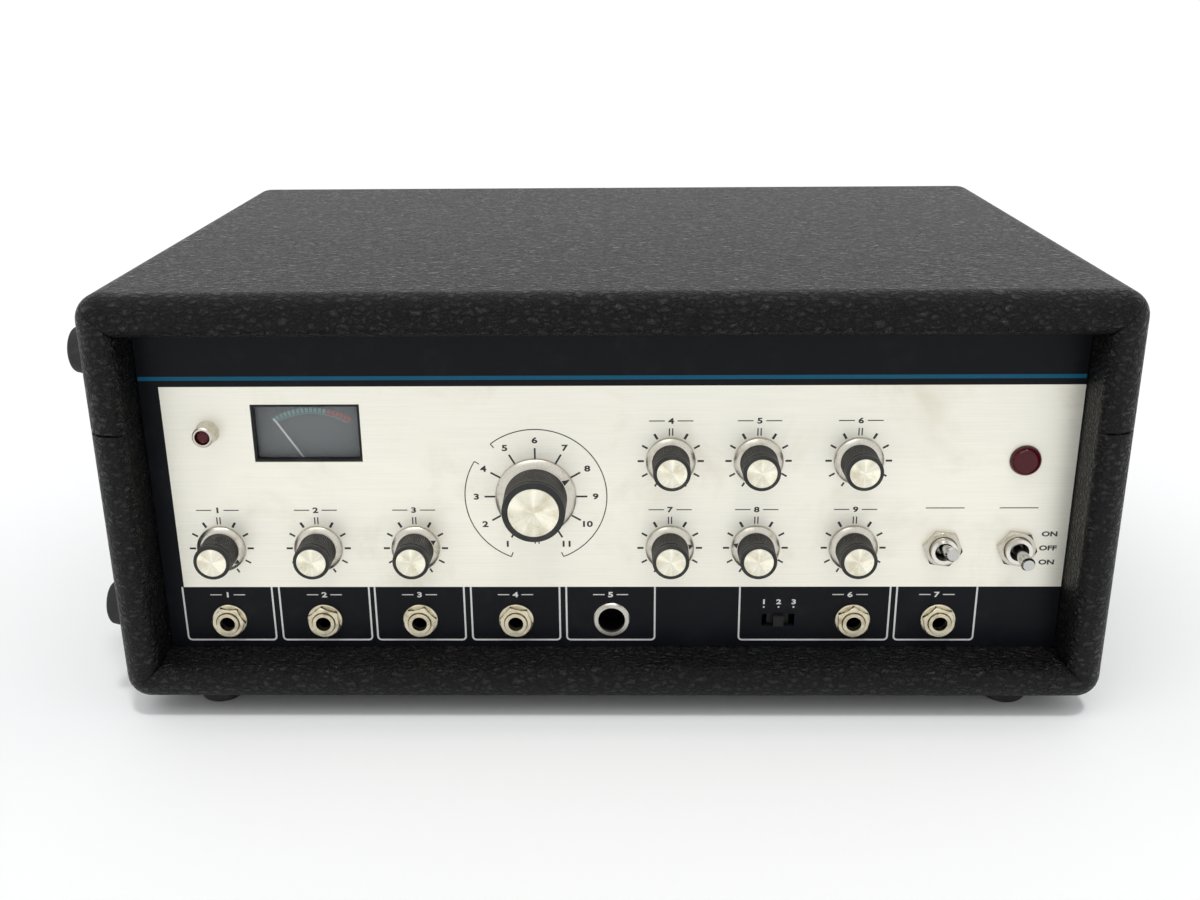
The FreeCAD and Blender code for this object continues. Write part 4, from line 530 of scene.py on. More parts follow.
@dataclass(frozen=True)
class Metal(Finish):
    """Metal with brush lines, tarnish and small scratches.

    Attributes:
        stain: colour of tarnished places.
        roughness: mean roughness.
        brush: stretch of the brush lines along X, Y and Z; small numbers make long lines.
        brush_size: width of a brush line in millimetres.
        brush_depth: height of the brush lines in millimetres.
        stained: share of the surface that is tarnished, from nought to one.
    """

    stain: tuple = (0.30, 0.24, 0.14)
    roughness: float = 0.3
    brush: tuple = (1, 1, 1)
    brush_size: float = 0.25
    brush_depth: float = 0.01
    stained: float = 0.3

    def paint(self, graph: Graph) -> None:
        """Brush lines in the roughness and the bump, cloudy tarnish in the colour."""
        lines = graph.noise(self.brush_size, graph.point(self.brush), 4, 0.6)
        cloud = graph.noise(6, detail=5, rough=0.65, twist=0.4)
        tarnish = graph.span(cloud, 0.72 - self.stained * 0.4, 0.86 - self.stained * 0.2)
        pale = graph.mix(graph.span(lines, 0.3, 0.7), faded(self.color, 0.9), self.color)
        color = graph.mix(graph.times(tarnish, 0.55), pale, self.stain)
        rough = graph.calc("ADD", self.roughness - 0.08, graph.times(lines, 0.12))
        rough = graph.calc("ADD", rough, graph.times(tarnish, 0.18))
        scratch = graph.span(graph.noise(1.6, graph.point((0.12, 1, 1), (0.3, 0.6, 0.2)), 2), 0.70, 0.74)
        normal = graph.bump(graph.calc("ADD", lines, graph.times(scratch, 0.6)), self.brush_depth)
        graph.dress(Base_Color=color, Metallic=1.0, Roughness=rough, Normal=normal)


@dataclass(frozen=True)
class Spun(Finish):
    """Spun metal disc: rings in the bump and paler wedges of painted highlight that run out from the middle.

    Attributes:
        stain: colour of worn spots.
        roughness: mean roughness.
    """

    stain: tuple = (0.50, 0.42, 0.24)
    roughness: float = 0.34

    def paint(self, graph: Graph) -> None:
        """Work in the piece's flat coordinates, whose origin is the disc's middle."""
        flat = graph.add("UVMap", uv_map="flat").outputs[0]
        length = graph.add("VectorMath", {0: flat}, operation="LENGTH").outputs["Value"]
        direction = graph.add("VectorMath", {0: flat}, operation="NORMALIZE").outputs[0]
        highlight_wedge = graph.add("TexNoise", {"Vector": direction, "Scale": 1.6, "Detail": 3.0}).outputs["Fac"]
        rings = graph.calc("SINE", graph.times(length, 2 * math.pi / (0.22 * MM)))
        spots = graph.span(graph.noise(1.1, detail=4, rough=0.7), 0.60, 0.74)
        # Painted highlight: paler wedges running out from the middle stand in for the spun metal's
        # reflections.
        pale = graph.mix(graph.span(highlight_wedge, 0.38, 0.62), faded(self.color, 0.80), self.color)
        cloud = graph.span(graph.noise(5, detail=3), 0.40, 0.75)
        worn = graph.mix(graph.times(cloud, 0.45), pale, self.stain)
        color = graph.mix(graph.times(spots, 0.5), worn, faded(self.stain, 0.5))
        rough = graph.calc("ADD", self.roughness - 0.08, graph.times(highlight_wedge, 0.16))
        graph.dress(Base_Color=color, Metallic=1.0, Roughness=rough, Normal=graph.bump(rings, 0.0015))


@dataclass(frozen=True)
class Plastic(Finish):
    """Moulded plastic, rubber or paint with a fine grain and dusty patches.

    Attributes:
        dust: colour that gathers on it.
        dusty: share of dust, from nought to one.
        roughness: mean roughness.
        grain: size of the grain in millimetres.
        grain_depth: height of the grain in millimetres.
        alpha: how solid it is.
        shine: specular level.
    """

    dust: tuple = (0.16, 0.15, 0.13)
    dusty: float = 0.15
    roughness: float = 0.5
    grain: float = 0.4
    grain_depth: float = 0.02
    alpha: float = 1.0
    shine: float = 0.5

    def paint(self, graph: Graph) -> None:
        """Fine grain in the bump, slow clouds of dust in the colour and roughness."""
        grain = graph.noise(self.grain, detail=3, rough=0.6)
        cloud = graph.noise(9, detail=5, rough=0.6, twist=0.3)
        dust = graph.times(graph.span(cloud, 0.45, 0.80), self.dusty)
        base = graph.mix(graph.span(grain, 0.3, 0.7), faded(self.color, 0.82), self.color)
        color = graph.mix(dust, base, self.dust)
        rough = graph.calc("ADD", self.roughness - 0.05, graph.times(grain, 0.10))
        rough = graph.calc("ADD", rough, graph.times(dust, 0.3))
        graph.dress(Base_Color=color, Roughness=rough, Normal=graph.bump(grain, self.grain_depth))
        graph.dress(Alpha=self.alpha, Specular_IOR_Level=self.shine)


@dataclass(frozen=True)
class GrainedVinyl(Finish):
    """Black vinyl with a fine wrinkled grain, mitred front corners and a few white nicks.

    Attributes:
        crease: height of a wrinkle in millimetres; it is about twice as long.
        stretch: how the wrinkles are drawn along X, Y and Z; small numbers make them longer.
        finer: how many times smaller the cells on the wrinkles are.
        bend: how far the wrinkles are bent, in millimetres.
        bend_size: size of the bends in millimetres.
        depth: height of the wrinkles in millimetres.
        scuff: colour of the rubbed tops.
        middle: X of the cabinet's middle plane in millimetres.
        opening: (half width, bottom, top) of the front opening in millimetres.
        rim_back: Y in millimetres in front of which the covering is mitred.
        mitre: half width of the mitre's crease in millimetres.
        left_edge: X in millimetres up to which the left edge is chipped.
        front_edge: Y in millimetres up to which the front edge is chipped.
        chip: colour under the covering.
    """

    crease: float = 2.4
    stretch: tuple = (0.50, 0.85, 1.0)
    finer: float = 2.6
    bend: float = 3.6
    bend_size: float = 3.4
    depth: float = 1.5
    scuff: tuple = (0.045, 0.044, 0.042)
    middle: float = -6.24
    opening: tuple = (191.3, 25.2, 168.8)
    rim_back: float = -126.0
    mitre: float = 0.30
    left_edge: float = -213.24
    front_edge: float = -137.0
    chip: tuple = (0.55, 0.54, 0.50)

    def wrinkles(self, graph: Graph) -> tuple:
        """Grain of bent, stretched cells with finer cells on them.

        Args:
            graph: the material's graph.

        Returns:
            The height of the grain, and one on its ridges falling to nought in its creases.
        """
        scale = 1 / (self.bend_size * MM)
        bends = graph.add("TexNoise", {"Vector": graph.point(), "Scale": scale, "Detail": 3.0})
        shift = graph.add("VectorMath", {0: bends.outputs["Color"], 1: (0.5,) * 3}, operation="SUBTRACT")
        wide = graph.add("VectorMath", {0: shift.outputs[0], 1: (self.bend * MM,) * 3}, operation="MULTIPLY")
        stretched = graph.point(self.stretch)
        place = graph.add("VectorMath", {0: stretched, 1: wide.outputs[0]}, operation="ADD").outputs[0]
        ridge = graph.calc("POWER", graph.span(graph.cells(self.crease, place), 0.0, 0.62), 0.7)
        fine = graph.span(graph.cells(self.crease / self.finer, place), 0.0, 0.4)
        lump = graph.noise(7, detail=3, rough=0.6)
        height = graph.calc("ADD", graph.times(ridge, 0.62), graph.times(fine, 0.26))
        return graph.calc("ADD", height, graph.times(lump, 1.1)), ridge

    def mitre_mask(self, graph: Graph) -> bpy.types.NodeSocket:
        """Diagonal joints of the front corners, where X and Z lie equally far from the opening's corner.

        Args:
            graph: the material's graph.

        Returns:
            One on the joints and nought elsewhere.
        """
        axes = graph.add("SeparateXYZ", {0: graph.point()}).outputs
        half, low, high = (value * MM for value in self.opening)
        from_middle = graph.calc("ABSOLUTE", graph.calc("SUBTRACT", axes[0], self.middle * MM))
        out_x = graph.calc("SUBTRACT", from_middle, half)
        below = graph.calc("SUBTRACT", low, axes[2])
        out_z = graph.calc("MAXIMUM", below, graph.calc("SUBTRACT", axes[2], high))
        apart = graph.calc("ABSOLUTE", graph.calc("SUBTRACT", out_x, out_z))
        near = graph.span(apart, self.mitre * 0.5 * MM, self.mitre * 1.8 * MM, 1.0, 0.0)
        front = graph.span(axes[1], (self.rim_back - 2.0) * MM, self.rim_back * MM, 1.0, 0.0)
        return graph.times(near, front)

    def nicks(self, graph: Graph) -> bpy.types.NodeSocket:
        """Small chips along the front left edge, which stands on rough floors.

        Args:
            graph: the material's graph.

        Returns:
            One in the chips and nought elsewhere.
        """
        axes = graph.add("SeparateXYZ", {0: graph.point()}).outputs
        left = graph.span(axes[0], self.left_edge * MM, (self.left_edge + 4.0) * MM, 1.0, 0.0)
        front = graph.span(axes[1], self.front_edge * MM, (self.front_edge + 9.0) * MM, 1.0, 0.0)
        spots = graph.span(graph.noise(1.3, detail=4, rough=0.7), 0.66, 0.69)
        return graph.times(left, front, spots)

    def paint(self, graph: Graph) -> None:
        """Creases darkened as painted shade between slightly paler ridges, with scuffs on the ridges alone.
        """
        height, ridge = self.wrinkles(graph)
        mitre = self.mitre_mask(graph)
        height = graph.calc("SUBTRACT", height, graph.times(mitre, 1.6))
        worn = graph.span(graph.noise(19, detail=5, rough=0.7), 0.50, 0.74)
        # Painted shade: the creases take a third of the colour.
        dark = graph.mix(ridge, faded(self.color, 0.35), self.color)
        rubbed = graph.mix(graph.times(worn, ridge, 0.16), dark, self.scuff)
        folded = graph.mix(mitre, rubbed, faded(self.color, 0.2))
        color = graph.mix(self.nicks(graph), folded, self.chip)
        rough = graph.span(ridge, 0, 1, 0.40, 0.24)
        graph.dress(Base_Color=color, Roughness=rough, Normal=graph.bump(height, self.depth))
        graph.dress(Specular_IOR_Level=graph.span(ridge, 0.1, 0.9, 0.15, 0.31))


@dataclass(frozen=True)
class PrintedPanel(Finish):
    """Brushed panel: a pale metal field inside printed black, with stains and rubbed spots.

    Attributes:
        field: (left, right, bottom, top) of the bare field in millimetres.
        black: colour of the printed part.
        stain: colour of the stains.
        spot: colour of the rubbed spots.
        dust: colour of the dust on the print.
    """

    field: tuple = (-189.0, 189.0, 54.1, 143.6)
    black: tuple = (0.005, 0.0055, 0.008)
    stain: tuple = (0.50, 0.44, 0.27)
    spot: tuple = (0.25, 0.20, 0.12)
    dust: tuple = (0.3, 0.3, 0.3)

    def paint(self, graph: Graph) -> None:
        """Limits on X and Z part the field from the print; long noise gives the brush lines."""
        axes = graph.add("SeparateXYZ", {0: graph.point()}).outputs
        left, right, bottom, top = (value * MM for value in self.field)
        across = graph.between(axes[0], left, right)
        inside = graph.times(across, graph.between(axes[2], bottom, top))
        brush = graph.noise(0.5, graph.point((0.012, 1, 1)), 4, 0.7)
        cloud = graph.noise(34, detail=5, rough=0.6, twist=0.5)
        spots = graph.span(graph.noise(1.5, detail=5, rough=0.75), 0.66, 0.76)
        silver = graph.mix(graph.span(brush, 0.25, 0.75), faded(self.color, 0.93), self.color)
        silver = graph.mix(graph.span(cloud, 0.50, 0.85, 0.0, 0.35), silver, self.stain)
        silver = graph.mix(graph.times(spots, 0.30), silver, self.spot)
        dust = graph.span(graph.noise(14, detail=6, rough=0.7), 0.50, 0.80, 0.0, 0.02)
        black = graph.mix(dust, self.black, self.dust)
        color = graph.mix(inside, black, silver)
        rough = graph.calc("ADD", graph.span(inside, 0, 1, 0.34, 0.38), graph.times(brush, 0.10))
        metallic = graph.span(inside, 0, 1, 0.0, 0.60)
        normal = graph.bump(graph.times(brush, inside), 0.006)
        graph.dress(Base_Color=color, Metallic=metallic, Roughness=rough, Normal=normal)
        graph.dress(Specular_IOR_Level=graph.span(inside, 0, 1, 0.12, 0.5))


@dataclass(frozen=True)
class DeepSocket(Metal):
    """Nickel fitting that is painted black inside as shade, behind a place given along Y.

    Attributes:
        dark_from: Y in millimetres behind which it is painted black as shade.
        dark: colour of the painted shade there.
    """

    dark_from: float = -120.5
    dark: tuple = (0.004, 0.004, 0.004)

    def paint(self, graph: Graph) -> None:
        """Paint the metal, then darken what lies deep inside as painted shade."""
        super().paint(graph)
        depth = graph.add("SeparateXYZ", {0: graph.point()}).outputs[1]
        # Painted shade: behind the given depth the fitting turns black and stops being metal.
        inside = graph.span(depth, (self.dark_from - 0.3) * MM, (self.dark_from + 0.3) * MM)
        bright = graph.shader.inputs["Base Color"].links[0].from_socket
        graph.dress(Base_Color=graph.mix(inside, bright, self.dark))
        graph.dress(Metallic=graph.calc("SUBTRACT", 1.0, inside))
        graph.dress(Specular_IOR_Level=graph.span(inside, 0, 1, 0.5, 0.05))


VINYL = GrainedVinyl("grained_vinyl", (0.006, 0.006, 0.0065))
RUBBER = Plastic("matt_rubber", (0.014, 0.014, 0.014), roughness=0.8, grain=0.7, grain_depth=0.04, dusty=0.3)
PANEL = PrintedPanel("printed_panel", (0.95, 0.93, 0.82))
NICKEL = Metal("aged_nickel", (0.74, 0.68, 0.52), stain=(0.26, 0.20, 0.10), stained=0.75)
SOCKET = DeepSocket("aged_socket", (0.70, 0.64, 0.48), (0.24, 0.19, 0.10), stained=0.75, dark_from=-122.2)
CUP = DeepSocket("line_cup", (0.62, 0.60, 0.54), (0.2, 0.17, 0.1), stained=0.6, dark_from=-120.4)
BRIGHT_NICKEL = Metal("bright_nickel", (0.60, 0.57, 0.49), (0.26, 0.22, 0.15), roughness=0.24, stained=0.6)
SWITCH = DeepSocket("switch_metal", (0.80, 0.78, 0.72), (0.4, 0.36, 0.28), dark_from=-119.6)
SATIN_RING = Metal("satin_ring", (0.66, 0.63, 0.55), (0.34, 0.27, 0.15), stained=0.6)
CHROME = Metal("polished_chrome", (0.56, 0.56, 0.54), stain=(0.3, 0.3, 0.28), roughness=0.16, stained=0.2)
STEEL = Metal("zinc_sheet", (0.58, 0.58, 0.56), stain=(0.36, 0.35, 0.30), roughness=0.42, brush=(0.05, 1, 1))
GROUND_STEEL = Metal("ground_steel", (0.70, 0.70, 0.70), roughness=0.22, brush=(1, 1, 0.1), stained=0.1)
SPUN_CAP = Spun("spun_cap", (0.97, 0.94, 0.79))
KNURLED = Plastic("knurled_black", (0.012, 0.012, 0.013), roughness=0.42, dusty=0.30, grain=0.3, shine=0.4)
BLACK_PLASTIC = Plastic("satin_black", (0.008, 0.008, 0.009), roughness=0.45, grain=0.5, shine=0.25)
RED_LENS = Plastic(
    "ruby_lens", (0.070, 0.002, 0.006), dusty=0.03, roughness=0.12, grain_depth=0.004, shine=0.3,
)
CLEAR = Plastic("clear_plate", (0.80, 0.85, 0.85), roughness=0.08, dusty=0.05, grain_depth=0.001, alpha=0.10)
SLATE = Plastic("slate_scale", (0.085, 0.088, 0.098), roughness=0.62, dusty=0.1, grain=0.6, grain_depth=0.01)
WHITE_PAINT = Plastic("white_paint", (0.82, 0.82, 0.80), roughness=0.5, grain_depth=0.004, dusty=0.1)
TAPE_BROWN = Plastic("oxide_tape", (0.050, 0.024, 0.014), roughness=0.32, grain=1.2, grain_depth=0.004)
MOTOR_PAINT = Plastic("motor_paint", (0.060, 0.062, 0.066), roughness=0.45, grain=0.8, grain_depth=0.03)
RESIN_BOARD = Plastic("resin_board", (0.22, 0.15, 0.055), roughness=0.5, grain=1.5, grain_depth=0.01)
CORE_VARNISH = Plastic("core_varnish", (0.055, 0.040, 0.028), roughness=0.55, grain=0.6, grain_depth=0.05)
STRAP_SKIN = Plastic(
    "strap_skin", (0.016, 0.016, 0.016), roughness=0.48, grain=1.1, grain_depth=0.08, dusty=0.2,
)
THREAD = Plastic("waxed_thread", (0.05, 0.05, 0.048), roughness=0.8, grain=0.25, grain_depth=0.05)
INKS = {
    Ink.DARK: Plastic("dark_ink", (0.018, 0.019, 0.024), roughness=0.55, dusty=0.08, grain_depth=0.004),
    Ink.WHITE: Plastic("white_ink", (0.74, 0.74, 0.72), roughness=0.55, dusty=0.1, grain_depth=0.004),
    Ink.TEAL: Plastic(
        "teal_ink", (0.004, 0.11, 0.20), roughness=0.5, dusty=0.04, grain_depth=0.004, shine=0.15,
    ),
    Ink.GREEN: Plastic("green_ink", (0.17, 0.36, 0.35), roughness=0.6, dusty=0.1, grain_depth=0.004),
    Ink.RED: Plastic("red_ink", (0.42, 0.055, 0.045), roughness=0.6, dusty=0.1, grain_depth=0.004),
}


# Sub-assemblies


@dataclass
class Datum:
    """Places that all sub-assemblies share, in millimetres, read from the CAD model.

    Attributes:
        middle: X of the cabinet's middle plane.
        underside: Z of the cabinet's underside.
        face: Y of the control panel's front.
    """

    middle: float
    underside: float
    face: float

    @classmethod
    def from_frame(cls) -> "Datum":
        """Read the places from the boxes of the cabinet and of the control panel."""
        low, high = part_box("lower_cabinet")
        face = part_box("front_panel")[0].y
        return cls((low.x + high.x) / 2 / MM, low.z / MM, face / MM)

    def x(self, value: float) -> float:
        """X of a place that is given from the cabinet's middle plane."""
        return self.middle + value

    def z(self, height: float) -> float:
        """Z of a place that is given as a height above the cabinet's underside."""
        return self.underside + height


@dataclass
class Part:
    """A sub-assembly: CAD nodes that keep their shape, and pieces that are added to them.

    Attributes:
        datum: the shared places.
    """

    frame: dict
    datum: Datum

    def dress_nodes(self, finishes: dict) -> None:
        """Give CAD nodes their finish.

        Args:
            finishes: finish to the names of its nodes, as one string of words.
        """
        for finish, names in finishes.items():
            for name in names.split():
                node = self.frame["nodes"][name]
                node.data.materials.clear()
                node.data.materials.append(finish.material())

    def build(self) -> int:
        """Make and dress the sub-assembly; returns how many pieces were added."""
        raise NotImplementedError


@dataclass
class Cabinet(Part):
    """Both halves of the cabinet with their feet."""

    def build(self) -> int:
        """Dress the vinyl and the rubber; returns how many pieces were added."""
        self.dress_nodes({VINYL: "lower_cabinet upper_cabinet", RUBBER: "rubber_feet side_feet_upper"})
        return 0


@dataclass
class ControlPanel(Part):
    """The panel with everything that is printed on it.

    Attributes:
        ink_rise: how far a print stands in front of the panel.
        knob_tick: (inner, outer) radius of the marks round a small knob.
        tick_widths: mark widths by angle from straight up.
        dial_tick: (inner, outer) radius of the marks round the mode knob.
        figure_ring: radius of the dial's numbers.
        bracket_ring: radius of the arcs outside the numbers.
        stripe_height: height of the coloured stripe above the underside.
        boxes: left and right ends of the white outlines round the sockets.
        box_span: bottom and top of the outlines.
    """

    ink_rise: float = 0.05
    knob_tick: tuple = (11.0, 13.6)
    tick_widths: dict = field(default_factory=lambda: {30: 1.0, 60: 0.8, 90: 0.85, 120: 0.75, 150: 0.75})
    dial_tick: tuple = (16.8, 21.4)
    figure_ring: float = 24.8
    bracket_ring: float = 29.5
    stripe_height: float = 138.5
    boxes: tuple = (
        (-183.5, -145.1), (-142.0, -103.4), (-100.9, -62.7), (-59.7, -21.8), (-18.9, 18.9),
        (55.1, 119.0), (121.8, 155.7),
    )
    box_span: tuple = (20.2, 45.5)

    # Sizes of the figures and widths of the lines
    FIGURE = 2.5
    DIAL_FIGURE = 2.7
    SMALL_FIGURE = 2.3
    THIN_LINE = 0.4
    ARC_LINE = 0.42
    DOUBLE_LINE = 0.5
    BOLD_LINE = 0.75
    STRIPE_LINE = 1.7
    STRIPE_HALF = 190.6

    # Places of the prints; a label or a bar is given as (height, half length), where a knob's
    # label has its height over the knob
    KNOB_ROWS = (((-164.5, -123.3, -82.1), 63.6), ((25.0, 61.0, 102.0), 102.6), ((25.0, 61.0, 102.0), 63.6))
    KNOB_LABEL = (17.4, 9.0)
    DIAL = (-30.8, 87.0)
    SWITCH_BARS = (139.0, 169.5)
    SWITCH_BAR = (81.6, 8.0)
    POWER_WORDS = (("ON", 69.8), ("OFF", 63.4), ("ON", 56.9))
    POWER_WORDS_X = 183.4
    SOCKETS = (-164.3, -122.7, -81.8, -40.7, 0.0, 102.0, 138.8)
    SOCKET_LABEL = (41.8, 7.5)
    SLIDE_PLACES = (65.5, 71.8, 78.2)
    SLIDE_FIGURES = 38.4
    SLIDE_DOTS = 35.9
    DOT = 0.7

    def mark(self, path: np.ndarray, width: float) -> Surface:
        """Printed line on the panel along a path given in panel places."""
        placed = path + [self.datum.middle, self.datum.underside]
        return strip(placed, width, self.datum.face, self.ink_rise, self.ink_rise)

    def word(self, text: str, x: float, height: float, size: float) -> Surface:
        """Printed figures at a place on the panel."""
        return figures(text, self.datum.x(x), self.datum.z(height), self.datum.face, size)

    def knob_marks(self, x: float, height: float) -> list:
        """Marks round one small knob: a double line on top, then one mark every 30 degrees."""
        inner, outer = self.knob_tick
        marks = []
        top = height + outer + 0.6
        for offset in (-0.65, 0.65):
            marks.append(self.mark(line(x + offset, height + inner, x + offset, top), self.DOUBLE_LINE))
        for angle, width in self.tick_widths.items():
            reach = outer - 0.7 if angle == 150 else outer
            for sign in (-1, 1):
                marks.append(self.mark(spoke(x, height, sign * angle, inner, reach), width))
        return marks

    def dial_marks(self, x: float, height: float) -> list:
        """Marks, numbers and outer arcs round the mode knob."""
        inner, outer = self.dial_tick
        marks = []
        for place in range(1, 12):
            angle = 30 * (place - 6)
            marks.append(self.mark(spoke(x, height, angle, inner, outer), self.BOLD_LINE))
            turn = math.radians(angle)
            across = x + self.figure_ring * math.sin(turn)
            upward = height + self.figure_ring * math.cos(turn)
            marks.append(self.word(str(place), across, upward, self.DIAL_FIGURE))
        foot = height - outer
        for offset in (-0.8, 0.8):
            marks.append(self.mark(line(x + offset, foot, x + offset, foot + 3.2), self.DOUBLE_LINE))
        ring = self.bracket_ring
        for start, end in ((-158, -58), (-38, 158)):
            marks.append(self.mark(arc(x, height, ring, start, end, 60), self.ARC_LINE))
            for angle in (start, end):
                marks.append(self.mark(spoke(x, height, angle, ring - 2.2, ring), self.ARC_LINE))
        return marks

    def label(self, number: int, x: float, height: float, half: float) -> list:
        """Plain control number between two thin bars."""
        gap = 2.6
        marks = [self.word(str(number), x, height, self.FIGURE)]
        for sign in (-1, 1):
            marks.append(self.mark(line(x + sign * gap, height, x + sign * half, height), self.THIN_LINE))
        return marks

    def outline(self, left: float, right: float) -> Surface:
        """White outline round a socket: two sides, a bottom and rounded lower corners."""
        bottom, top = self.box_span
        radius = 1.6
        corners = [
            line(left, top, left, bottom + radius),
            arc(left + radius, bottom + radius, radius, 270, 180, 6),
            arc(right - radius, bottom + radius, radius, 180, 90, 6),
            line(right, bottom + radius, right, top),
        ]
        path = np.concatenate([corners[0], corners[1][1:], corners[2], corners[3][1:]])
        return self.mark(path, self.BOLD_LINE)

    def build(self) -> int:
        """Dress the panel and print it; returns how many pieces were added."""
        self.dress_nodes({PANEL: "front_panel"})
        dark = []
        rise, half = self.KNOB_LABEL
        places = [(x, height) for row, height in self.KNOB_ROWS for x in row]
        for number, (x, height) in enumerate(places, 1):
            dark += self.knob_marks(x, height)
            dark += self.label(number, x, height + rise, half)
        dark += self.dial_marks(*self.DIAL)
        height, half = self.SWITCH_BAR
        for x in self.SWITCH_BARS:
            dark.append(self.mark(line(x - half, height, x + half, height), self.THIN_LINE))
        for text, height in self.POWER_WORDS:
            dark.append(self.word(text, self.POWER_WORDS_X, height, self.SMALL_FIGURE))
        white = [self.outline(*ends) for ends in self.boxes]
        for number, x in enumerate(self.SOCKETS, 1):
            white += self.label(number, x, *self.SOCKET_LABEL)
        for number, x in enumerate(self.SLIDE_PLACES, 1):
            white.append(self.word(str(number), x, self.SLIDE_FIGURES, self.SMALL_FIGURE))
            dot = line(x - self.DOT / 2, self.SLIDE_DOTS, x + self.DOT / 2, self.SLIDE_DOTS)
            white.append(self.mark(dot, self.DOT))
        ends = line(-self.STRIPE_HALF, self.stripe_height, self.STRIPE_HALF, self.stripe_height)
        stripe = [self.mark(ends, self.STRIPE_LINE)]
        for ink, marks in ((Ink.DARK, dark), (Ink.WHITE, white), (Ink.TEAL, stripe)):
            make_piece(f"panel_print_{ink.value}", joined(marks), INKS[ink], "root")
        return 3


@dataclass
class Knob(Part):
    """Control knob: knurled grip with its shaft, spun cap, satin skirt and black pointer.

    Attributes:
        body: CAD body that it turns with.
        nodes: CAD nodes that its pieces stand for.
        rest: pointer's angle at rest, clockwise from straight up.
        skirt_radius: radius of the skirt.
        grip_radius: radius of the grip.
        cap_radius: radius of the cap.
        height: height in front of the panel.
        shaft: length of the shaft behind the panel's front.
        ridges: number of ridges round the grip.
    """

    body: str = ""
    nodes: tuple = ()
    rest: float = 0.0
    skirt_radius: float = 10.15
    grip_radius: float = 7.6
    cap_radius: float = 6.1
    height: float = 15.0
    shaft: float = 10.9
    ridges: int = 58

    SKIRT_BASE = 0.8
    SKIRT_TOP = 2.2
    SKIRT_EDGE = 0.5
    SKIRT_BEVEL = 1.6
    HOLE = 4.8
    BORE = 3.05
    BORE_WALL = 4.0
    HOLE_TOP = 3.4
    COLLAR = 2.4
    RIDGE_DEPTH = 0.30

    @property
    def centre(self) -> tuple:
        """Axis at the panel's face, from the box of the knob's first node."""
        low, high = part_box(self.nodes[0])
        middle = (low + high) / 2 / MM
        return (middle.x, self.datum.face, middle.z)

    def grip(self) -> Surface:
        """Knurled body and smooth front collar.

        The ridges take up to RIDGE_DEPTH off the radius, as one minus the cosine of the angle
        times their number, and fade out at both ends of the knurled length.
        """
        top = self.height
        groove = top - self.COLLAR
        radius = self.grip_radius
        seat = self.cap_radius + 0.1
        low = self.SKIRT_TOP
        profile = [(top - self.BORE_WALL, 0), (top - self.BORE_WALL, self.BORE), (self.HOLE_TOP, self.BORE),
                   (self.HOLE_TOP, self.HOLE), (low, self.HOLE), (low, radius + 0.1),
                   (low + 0.35, radius + 0.2)]
        ridged = [(h, radius + 0.18 * (1 - (h - low) / (groove - low))) for h in
                  np.linspace(low + 0.7, groove - 0.9, 5)]
        front = [(groove - 0.6, radius), (groove - 0.5, radius - 0.35), (groove - 0.1, radius - 0.4),
                 (groove, radius - 0.1), (groove + 0.15, radius), (top - 0.55, radius),
                 (top - 0.2, radius - 0.12), (top - 0.03, radius - 0.4), (top, radius - 0.7),
                 (top, seat + 0.12), (top - 0.1, seat), (top - 0.8, seat), (top - 0.8, 0)]
        outline = profile + ridged + front
        steps = self.ridges * 6
        angle = np.linspace(0, 2 * math.pi, steps, endpoint=False)
        fade = np.zeros(len(outline))
        first = len(profile)
        fade[first:first + len(ridged)] = (0.7, 1, 1, 1, 0.7)
        fade[first - 1] = 0.15
        bite = self.RIDGE_DEPTH * fade[:, None] * (0.5 - 0.5 * np.cos(self.ridges * angle)) ** 0.7
        return turned(outline, self.centre, steps, radius_scale=1 - bite / self.grip_radius)

    def shaft_surface(self) -> Surface:
        """Plain round shaft inside the grip and behind the panel."""
        tip = self.height - self.BORE_WALL - 0.05
        radius = self.BORE - 0.05
        outline = [(-self.shaft, 0), (-self.shaft, radius), (tip, radius), (tip, 0)]
        return turned(outline, self.centre, 32)

    def skirt_profile(self) -> list:
        """Outline of the skirt with its bevel slightly rounded."""
        radius = self.skirt_radius
        base, top = self.SKIRT_BASE, self.SKIRT_TOP
        edge = base + self.SKIRT_EDGE
        return [(base, self.HOLE), (base, radius - 0.1), (base + 0.1, radius), (edge, radius),
                (edge + 0.12, radius - 0.08), (top - 0.12, radius - self.SKIRT_BEVEL + 0.12),
                (top, radius - self.SKIRT_BEVEL - 0.1), (top, self.HOLE)]

    def pointer(self) -> Surface:
        """Black triangle on the skirt that narrows outward and follows the bevel."""
        x, y, z = self.centre
        inner = self.grip_radius + 0.35
        outer = self.skirt_radius - 0.35
        reach = np.linspace(inner, outer, 8)
        turn = math.radians(self.rest)
        path = np.array([x, z]) + np.outer(reach, [math.sin(turn), math.cos(turn)])
        slope = (self.SKIRT_TOP - self.SKIRT_BASE - self.SKIRT_EDGE) / self.SKIRT_BEVEL
        flat_end = self.skirt_radius - self.SKIRT_BEVEL
        rise = self.SKIRT_TOP - np.clip(reach - flat_end, 0, None) * slope + 0.03
        width = 2.4 * (outer - reach) / (outer - inner) + 0.12
        return strip(path, width, y, rise, 0.12)

    def build(self) -> int:
        """Make the four pieces; returns how many pieces were added."""
        top = self.height
        edge = self.cap_radius
        disc = [(top - 0.8, 0), (top - 0.8, edge), (top - 0.16, edge), (top - 0.05, edge - 0.04),
                (top, edge - 0.16), (top - 0.02, edge * 0.75), (top - 0.04, edge * 0.4), (top - 0.05, 0)]
        grip = joined([self.grip(), self.shaft_surface()])
        make_piece(f"{self.body}_grip_piece", grip, KNURLED, self.body, self.nodes)
        make_piece(f"{self.body}_cap_piece", turned(disc, self.centre, 72), SPUN_CAP, self.body)
        skirt = turned(self.skirt_profile(), self.centre, 96)
        make_piece(f"{self.body}_skirt_piece", skirt, SATIN_RING, self.body)
        make_piece(f"{self.body}_pointer_piece", self.pointer(), INKS[Ink.DARK], self.body)
        return 4


